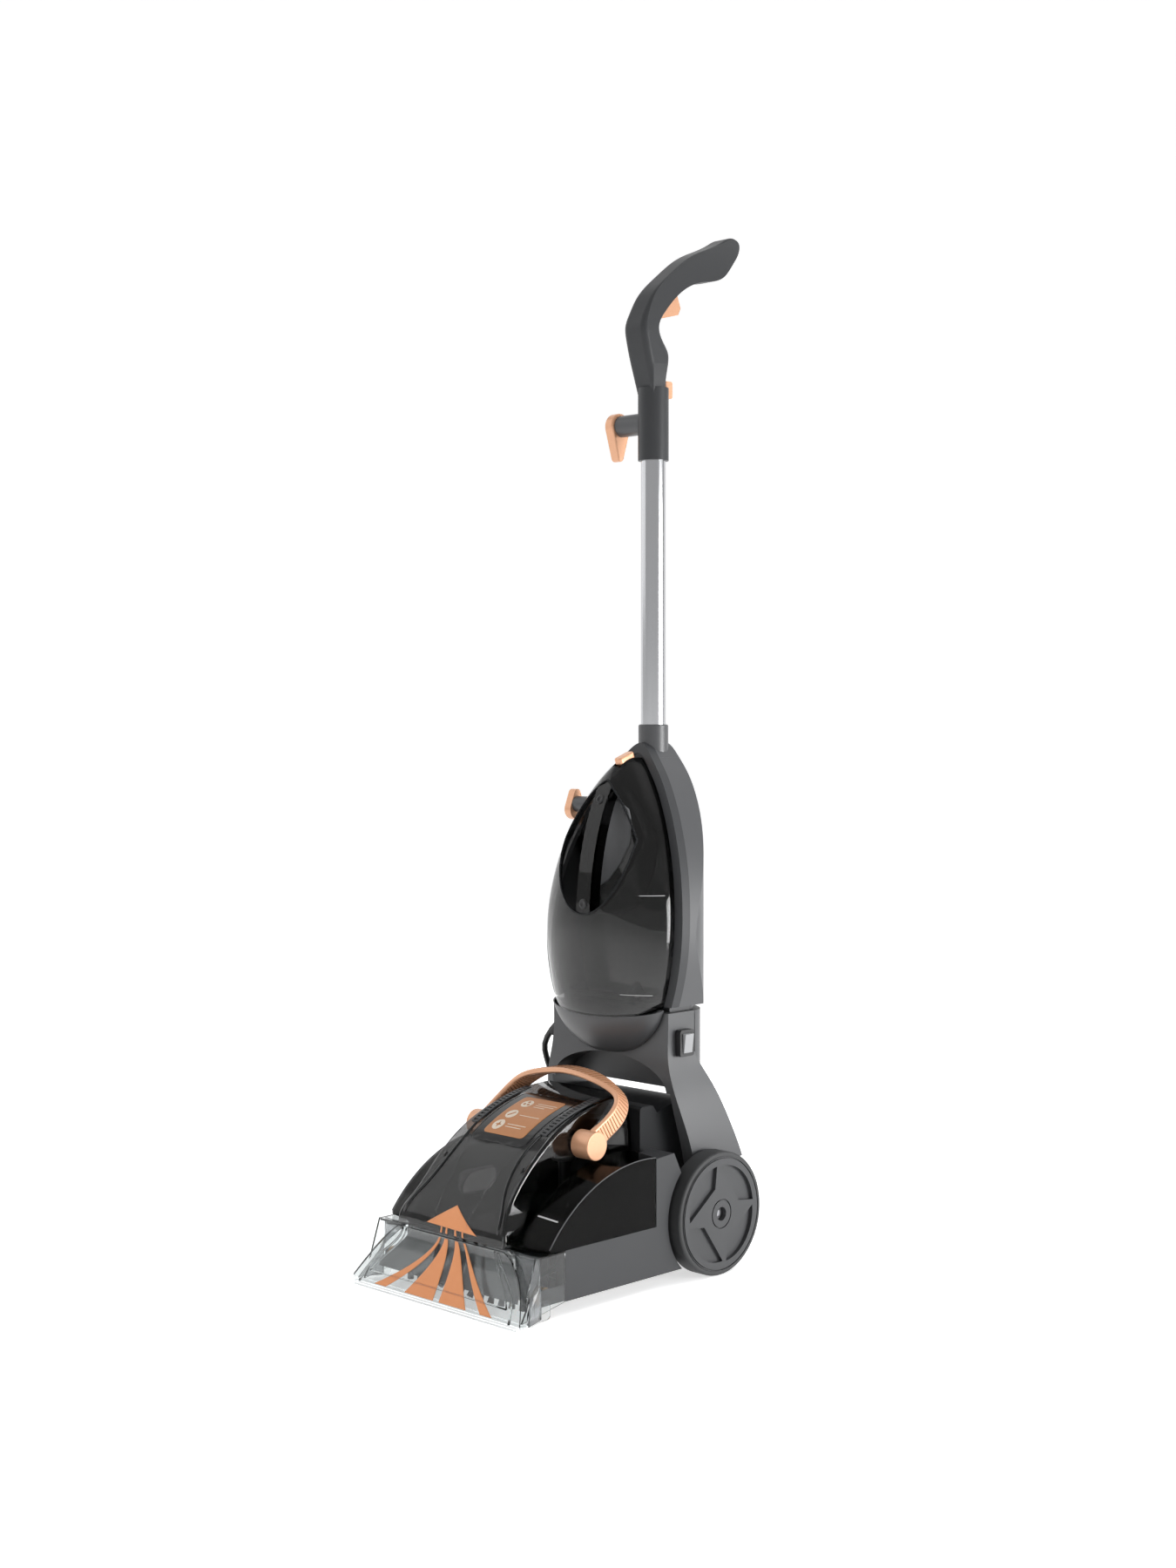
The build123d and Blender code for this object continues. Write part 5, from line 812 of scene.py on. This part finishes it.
def sharp_edges(name, low, high, angle):
    work = bmesh.new()
    work.from_mesh(nodes[name].data)
    bmesh.ops.remove_doubles(work, verts=work.verts[:], dist=1e-5)
    found = []
    for edge in work.edges:
        ends = [vertex.co.copy() for vertex in edge.verts]
        middle = (ends[0] + ends[1]) / 2
        inside = all(low[k] * MM < middle[k] < high[k] * MM for k in range(3))
        if inside and len(edge.link_faces) == 2 and edge.calc_face_angle_signed() > angle:
            found.append(ends)
    work.free()
    return found


rim_work = bmesh.new()
rim_count = 0
for ends in sharp_edges("clean_tank", *RIM_BOX, RIM_ANGLE):
    middle = (ends[0] + ends[1]) / 2
    if tank_skin.ray_cast(middle + RIM_VIEW * MM, RIM_VIEW)[0] is None:
        rod(rim_work, ends, RIM_R * MM, RIM_SIDES)
        rim_count += 1
pocket_rim = finish_mesh("pocket_rim", rim_work, smooth=True)
laid(pocket_rim, tower_abs, "water_tank")
print("pocket rim from", rim_count, "edges, below", round(RIM_BOX[1][2], 1))

# %% [markdown]
# ## Painted reflection in the pocket
# The pocket's wall looks lighter than the rest of the tank, because it mirrors the light from above and
# to the left. The tank is one mesh with one material, so this painted reflection is a piece of its own: a
# satin grey film in the shape of a leaf, laid on that wall.

# %% Painted reflection in the pocket
POCKET_REFLECTION_OUTLINE = (
    (12.8, 493.0), (30.0, 496.0), (40.5, 487.0), (44.0, 470.0), (42.0, 448.0), (33.0, 426.5), (19.5, 407.0),
    (3.0, 395.5), (0.0, 413.0), (1.5, 435.0), (5.5, 466.0),
)
# The film's lighter grey is a painted reflection of the light from above and to the left, not the tank's own
# colour.
painted_reflection_grey = printed_film("painted_reflection_film", "#67686a", "#5f6062", 0.42, 0.0)
pocket_field = film("pocket_field", [POCKET_REFLECTION_OUTLINE], tank_skin, *CORNER, lift=0.2, step=4.0)
laid(pocket_field, painted_reflection_grey, "water_tank")
print("pocket field", len(pocket_field.data.polygons), "faces")

# %% [markdown]
# ## Crest of the tank's lobes
# The side of each lobe ends above in an arch, and light catches its polished edge as a thin line. The CAD
# edge is too sharp to do that, so a fine bead follows it, found in the moulding in the same way as the
# pocket's rim. Its round shape catches some real light, and its grey, far lighter than the tank, is a
# painted highlight.

# %% Crest of the tank's lobes
CREST_R = 0.55
CREST_X = (110.0, 125.0)
CREST_Y = (-180.0, -27.0)
CREST_Z = (67.0, 140.0)
for side, hand in HANDS:
    across = sorted(side * x for x in CREST_X)
    box = [(across[k], CREST_Y[k], CREST_Z[k]) for k in range(2)]
    found = sharp_edges("recovery_tank", *box, RIM_ANGLE)
    spots = {tuple(round(v, 6) for v in spot) for ends in found for spot in ends}
    spots = sorted(spots, key=lambda spot: spot[1])
    # The bead's grey, far lighter than the tank, is a painted highlight along the lobe's edge.
    crest = tube(f"lobe_crest_{hand}", [Vector(spot) for spot in spots], CREST_R * MM, RIM_SIDES)
    laid(crest, grey_abs, "dirty_tank")
    print("crest", hand, len(spots), "points")

# %% [markdown]
# ## Ribs of the carrying strap
# The strap has fine raised ribs across both flat sides, so that a wet hand doesn't slip. The strap bends
# and twists, so the ribs need its middle line and, at each place, the directions across it and out of it.
# The middle line is the Catmull-Rom curve through its points, as in the CAD model.

# %% The strap's middle line
STRAP_PATH = [
    (0.0, -29.0, 211.0), (30.0, -29.0, 208.0), (58.0, -29.5, 199.5), (76.0, -33.0, 188.0),
    (82.0, -47.0, 174.5), (82.0, -64.0, 163.5), (81.0, -80.0, 153.5),
]
STRAP_TWIST = 58.0
TWIST_SPAN = (0.15, 0.9)
AHEAD = 0.002


def along_strap(share):
    spots = [Vector((-x, y, z)) for x, y, z in reversed(STRAP_PATH[1:])]
    spots += [Vector(spot) for spot in STRAP_PATH]
    spots = [2 * spots[0] - spots[1]] + spots + [2 * spots[-1] - spots[-2]]
    pieces = len(spots) - 3
    at = min(share * pieces, pieces - TINY)
    a, b, c, d = spots[int(at):int(at) + 4]
    t = at - int(at)
    curve = 2 * b + (c - a) * t
    curve += (2 * a - 5 * b + 4 * c - d) * t ** 2
    curve += (3 * b - a - 3 * c + d) * t ** 3
    return 0.5 * curve


def strap_frame(share):
    heading = (along_strap(min(share + AHEAD, 1.0)) - along_strap(max(share - AHEAD, 0.0))).normalized()
    ease = (abs(2 * share - 1) - TWIST_SPAN[0]) / (TWIST_SPAN[1] - TWIST_SPAN[0])
    ease = min(1.0, max(0.0, ease))
    twist = radians(STRAP_TWIST * (3 - 2 * ease) * ease ** 2)
    across = Vector((0, cos(twist), -sin(twist)))
    across = (across - heading * across.dot(heading)).normalized()
    return across, heading.cross(across)


print("strap ends at", [round(value, 1) for value in along_strap(1.0)])

# %% [markdown]
# A row of copies of one rib would float or sink where the strap twists, so each rib is laid on the moulding
# itself: a ray finds the surface at nine places across the strap, and a thin rod follows them. The ribs'
# coat is a deeper colour than the strap's, painted shade for the shadow between the ribs, so that such fine
# ribs still show.

# %% Ribs of the carrying strap
RIB_HALF = 8.2
RIB_R = 0.8
RIB_SINK = 0.35
RIB_COUNT = 58
RIB_REACH = 0.93
RIB_SPOTS = 4
RIB_START = 9.0
RIB_SIDES = 8
strap_skin = skin_of("carry_handle")
rib_work = bmesh.new()
for number in range(RIB_COUNT):
    share = 0.5 + RIB_REACH * ((number + 0.5) / RIB_COUNT - 0.5)
    across, outward = strap_frame(share)
    centre = along_strap(share)
    for face in (1, -1):
        places = [across * RIB_HALF * k / RIB_SPOTS for k in range(-RIB_SPOTS, RIB_SPOTS + 1)]
        starts = [centre + place + outward * RIB_START * face for place in places]
        line = [settle(strap_skin, start * MM, -outward * face, -RIB_SINK * MM) for start in starts]
        rod(rib_work, line, RIB_R * MM, RIB_SIDES)
strap_ribs = finish_mesh("strap_ribs", rib_work, smooth=True)
# The ribs take the deeper colour, painted shade for the shadow between them.
laid(strap_ribs, rib_painted_shade, "carry")
print("strap ribs", RIB_COUNT * 2)

# %% [markdown]
# ## Bosses of the grip bar
# Two round bosses hold the bar in the tank's pocket. A plain cylinder would look like a peg, but each is a
# shallow dish with a rounded rim, so it is made as on a lathe: a profile is turned round the line that
# stands square on the bar.

# %% Bosses of the grip bar
BOSS_PROFILE = ((0.0, 0.35), (2.4, 0.35), (2.6, 0.75), (3.2, 0.9), (4.9, 0.9), (5.4, 0.5), (5.5, -0.4))
GRIP_BOSSES = (497.0, 386.0)


def turned(work, centre, outward, profile, sides=28):
    across = outward.orthogonal().normalized()
    upward = outward.cross(across)
    rings = []
    for reach, height in profile[1:]:
        spots = []
        for side in range(sides):
            turn = 2 * pi * side / sides
            flat = across * cos(turn) + upward * sin(turn)
            spots.append(work.verts.new(centre + (flat * reach + outward * height) * MM))
        rings.append(spots)
    top = work.verts.new(centre + outward * profile[0][1] * MM)
    for side in range(sides):
        nxt = (side + 1) % sides
        work.faces.new((top, rings[0][side], rings[0][nxt]))
        for here, there in zip(rings, rings[1:]):
            work.faces.new((here[side], there[side], there[nxt], here[nxt]))
    work.faces.new(rings[-1][::-1])


grip_skin = skin_of("tank_grip")
boss_work = bmesh.new()
for height in GRIP_BOSSES:
    spot, normal, _, _ = grip_skin.ray_cast(from_front(0.0, height * MM), FRONT[1])
    turned(boss_work, spot, normal, BOSS_PROFILE)
grip_bosses = finish_mesh("grip_bosses", boss_work, smooth=True)
laid(grip_bosses, black_abs, "water_tank")
print("grip bosses", len(GRIP_BOSSES))

# %% [markdown]
# ## Beads of the nozzle
# The clear nozzle is a moulded shell whose ends sweep outward in an S, with two rounded beads along each
# sweep and one above the lip. The mesh of a CAD piece is never changed, so rods of the same plastic are
# laid on the shell, and they give those bright lines.

# %% Beads of the nozzle
NOZZLE_SWEEPS = (
    (1.3, ((71.0, 62.5), (74.0, 54.0), (86.0, 42.0), (101.0, 30.0), (109.0, 18.0), (112.0, 4.5))),
    (0.9, ((66.0, 62.5), (69.0, 52.0), (81.0, 39.5), (95.0, 27.0), (102.0, 16.0))),
)
BAND_LINE = ((-102.0, 16.0), (-60.0, 16.5), (0.0, 16.5), (60.0, 16.5), (102.0, 16.0))
BAND_R = 0.8
for number, (radius, spots) in enumerate(NOZZLE_SWEEPS):
    for side, hand in HANDS:
        mirrored = [(side * x, z) for x, z in spots]
        sweep = bead(f"nozzle_sweep_{number}_{hand}", mirrored, radius, nozzle_skin, *FRONT)
        laid(sweep, clear, "base")
band_bead = bead("nozzle_band", BAND_LINE, BAND_R, nozzle_skin, *FRONT)
laid(band_bead, clear, "base")
print("nozzle beads laid")

# %% [markdown]
# ## Cheeks and foot tabs of the nozzle
# At each end the shell sweeps back to the chassis as a cheek that turns from facing forward at the top to
# facing sideways at the lip. No flat plate can turn like that, so it is a ruled surface: lines from the
# shell's rear edge to the front corner of the chassis, bowed a little. A small rounded tab below it sits on
# the side of the chassis.

# %% Cheeks and foot tabs of the nozzle
SHELL_END = ((80.0, -189.0, 62.0), (103.0, -193.5, 44.0), (117.0, -204.0, 24.0), (127.0, -216.0, 3.0))
CHEEK_STEPS = 6
CHEEK_BOW = 2.5
CHEEK_T = 1.6
TAB = (-199.0, 1.5, -177.0, 21.0)
TAB_CORNER = 4.0
TAB_T = 2.0
TAB_GAP = 0.2
chassis_low, chassis_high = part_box("base_chassis")


def sheet_of(name, rows, thick):
    work = bmesh.new()
    made = [[work.verts.new(spot) for spot in row] for row in rows]
    for here, there in zip(made, made[1:]):
        for at in range(len(here) - 1):
            work.faces.new((here[at], here[at + 1], there[at + 1], there[at]))
    piece = finish_mesh(name, work, smooth=True)
    piece.modifiers.new("thickness", "SOLIDIFY").thickness = thick * MM
    return piece


def cheek_rows(side):
    corner_x = chassis_high.x - CHEEK_T * MM
    rows = []
    for spot in smooth_line([Vector((x, y, z)) * MM for x, y, z in SHELL_END]):
        corner = Vector((corner_x, chassis_low.y - CHEEK_T * MM, spot.z))
        row = [spot.lerp(corner, step / CHEEK_STEPS) for step in range(CHEEK_STEPS + 1)]
        bows = [CHEEK_BOW * MM * sin(pi * step / CHEEK_STEPS) for step in range(CHEEK_STEPS + 1)]
        rows.append([Vector((side * (at.x + bow * 0.5), at.y - bow, at.z)) for at, bow in zip(row, bows)])
    return rows


def plate(name, x, outline, thick):
    work = bmesh.new()
    work.faces.new([work.verts.new((x, y * MM, z * MM)) for y, z in outline])
    piece = finish_mesh(name, work)
    piece.modifiers.new("thickness", "SOLIDIFY").thickness = thick * MM
    return piece


for side, hand in HANDS:
    cheek = sheet_of(f"nozzle_cheek_{hand}", cheek_rows(side), CHEEK_T)
    laid(cheek, hazy, "base")
    tab_x = side * (chassis_high.x + TAB_GAP * MM)
    tab = plate(f"nozzle_tab_{hand}", tab_x, rounded(*TAB, TAB_CORNER), TAB_T)
    laid(tab, clear, "base")
print("cheeks and tabs")

# %% [markdown]
# ## Back of the suction channel
# Behind the clear front of the nozzle the water rises in a flat channel. Its back is a grey plate, so the
# brush doesn't show through, and only the band above the lip lets light in. A flat plate would leave a gap
# behind the curved front, so it is a film, laid on the inner face from behind.

# %% Back of the suction channel
CHANNEL = (
    (-72.0, 60.0), (72.0, 60.0), (80.0, 48.0), (93.0, 35.0), (102.0, 24.0), (104.0, 18.0), (-104.0, 18.0),
    (-102.0, 24.0), (-93.0, 35.0), (-80.0, 48.0),
)
START_BEHIND = -186.0


def from_behind(x, z):
    return Vector((x, START_BEHIND * MM, z))


BEHIND = (from_behind, Vector((0, -1, 0)))
channel_grey = moulded_abs("moulded_channel_abs", "#77787a", "#6e6f71", 0.4)
channel_back = film("channel_back", [CHANNEL], nozzle_skin, *BEHIND, lift=0.5, thick=0.4, step=6.0)
laid(channel_back, channel_grey, "base")
print("channel back", [round(value, 4) for value in channel_back.dimensions])

# %% [markdown]
# Two upright fins inside the channel keep its clear front from bowing. They stand in the middle of the
# channel, so they are laid in from the front, sunk below its surface.

# %% Fins in the suction channel
FINS = ((-23.0, -21.2), (17.6, 19.4))
FIN_Z = (31.0, 55.0)
fin_shapes = [oblong(a, b, *FIN_Z) for a, b in FINS]
fins = film("channel_fins", fin_shapes, nozzle_skin, *FRONT, lift=-6.5, thick=5.0)
laid(fins, dark_abs, "base")
print("channel fins", len(FINS))

# %% [markdown]
# ## Lips of the rear cover
# Behind the switch the rear cover meets the body's flank with a lip that closes the seam. It is a thin
# strip on each side, of the same grey plastic, just inside the flank. A flat strip is enough, because
# little more than its face can be seen in the seam.

# %% Lips of the rear cover
LIP_Y = (58.0, 71.5)
LIP_Z = (236.0, 273.0)
LIP_T = 1.0
LIP_INSET = 0.5
cover_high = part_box("rear_cover")[1]
for side, hand in HANDS:
    lip_x = side * (cover_high.x - LIP_INSET * MM)
    lip = plate(f"cover_lip_{hand}", lip_x, oblong(*LIP_Y, *LIP_Z), LIP_T)
    laid(lip, grey_abs, "upright")
print("lips of the rear cover")

# %% [markdown]
# ## Floor and backdrop
# The studio is that of a product photograph on white: a pale floor that runs up into a backdrop without an
# edge. A white world alone would look alike, but the machine would cast no shadow and seem to float. The
# paper is made white for the camera, in reflections and through clear plastic by the Light Path node, so no
# extra light falls on the machine. The backdrop is far away, so that a camera behind the machine still
# stands in front of it.

# %% Floor and backdrop
FLOOR_HALF = 40.0
FLOOR_NEAR = -60.0
WALL_AT = 20.0
WALL_BEND = 5.0
WALL_TOP = 24.0


def paper():
    made, tree, output = new_material("backdrop_paper")
    shader = add(tree, "ShaderNodeBsdfDiffuse", Color=colour("#f2f2f2"))
    path = add(tree, "ShaderNodeLightPath")
    direct = add(
        tree, "ShaderNodeMath",
        [(0, path.outputs["Is Camera Ray"]), (1, path.outputs["Is Transmission Ray"])], operation="MAXIMUM",
    )
    seen = add(
        tree, "ShaderNodeMath",
        [(0, direct.outputs["Value"]), (1, path.outputs["Is Glossy Ray"])], operation="MAXIMUM",
    )
    glow = add(tree, "ShaderNodeEmission", [("Strength", seen.outputs["Value"])], Color=colour("#cdcdcd"))
    both = add(tree, "ShaderNodeAddShader", [(0, shader.outputs["BSDF"]), (1, glow.outputs["Emission"])])
    tree.links.new(both.outputs["Shader"], output.inputs["Surface"])
    return made


def backdrop():
    work = bmesh.new()
    foot = WALL_AT - WALL_BEND
    profile = [(FLOOR_NEAR, 0.0), (foot, 0.0)]
    for step in range(10, 91, 10):
        angle = radians(step)
        profile.append((foot + WALL_BEND * sin(angle), WALL_BEND - WALL_BEND * cos(angle)))
    profile.append((WALL_AT, WALL_TOP))
    turn = Matrix.Rotation(radians(CAMERA_TURN), 3, "Z")
    edges = (-FLOOR_HALF, FLOOR_HALF)
    rows = [[work.verts.new(turn @ Vector((x, y, z))) for x in edges] for y, z in profile]
    for here, there in zip(rows, rows[1:]):
        work.faces.new((here[0], here[1], there[1], there[0]))
    return finish_mesh("backdrop", work, smooth=True)


sheet_of_paper = backdrop()
dress(paper(), "backdrop")
print("backdrop", [round(value, 1) for value in sheet_of_paper.dimensions], "m")

# %% [markdown]
# ## Lights
# A low soft light stands on the right, its beam narrowed to stay off the handle, and wider ones stand on
# the left, in front and above. One large lamp would be simpler, but it would leave the round tube and the
# tanks flat. The lamps in front and above leave no mirror image of themselves, so that no bright patch
# stands on the tanks. An even white world fills the shadows.


# %% Lights
def soft_light(name, place, aim, size, power, beam=180, mirrored=True):
    data = bpy.data.lights.new(name, "AREA")
    data.shape = "RECTANGLE"
    data.size, data.size_y = size
    data.energy = power
    data.spread = radians(beam)
    lamp = bpy.data.objects.new(name, data)
    lamp.location = place
    lamp.visible_glossy = mirrored
    lamp.rotation_euler = (Vector(aim) - Vector(place)).to_track_quat("-Z", "Y").to_euler()
    bpy.context.scene.collection.objects.link(lamp)


FILL = 0.48
soft_light("right_softbox", (2.4, 1.2, 0.5), (0, 0.05, 0.36), size=(1.6, 1.0), power=7.5, beam=56)
soft_light("left_softbox", (-2.2, -1.4, 1.9), (0, 0, 0.4), size=(2.4, 2.4), power=12)
soft_light("front_softbox", (-0.3, -2.4, 2.3), (0, 0, 0.2), size=(1.2, 0.9), power=18, mirrored=False)
soft_light("top_softbox", (0.8, 1.5, 2.4), (0, 0, 0.3), size=(1.4, 1.4), power=27, mirrored=False)
world = bpy.data.worlds.new("studio")
world.use_nodes = True
background = world.node_tree.nodes["Background"]
background.inputs["Color"].default_value = colour("#ffffff")
background.inputs["Strength"].default_value = FILL
bpy.context.scene.world = world
bpy.context.scene.view_settings.view_transform = "Standard"
print("studio ready")
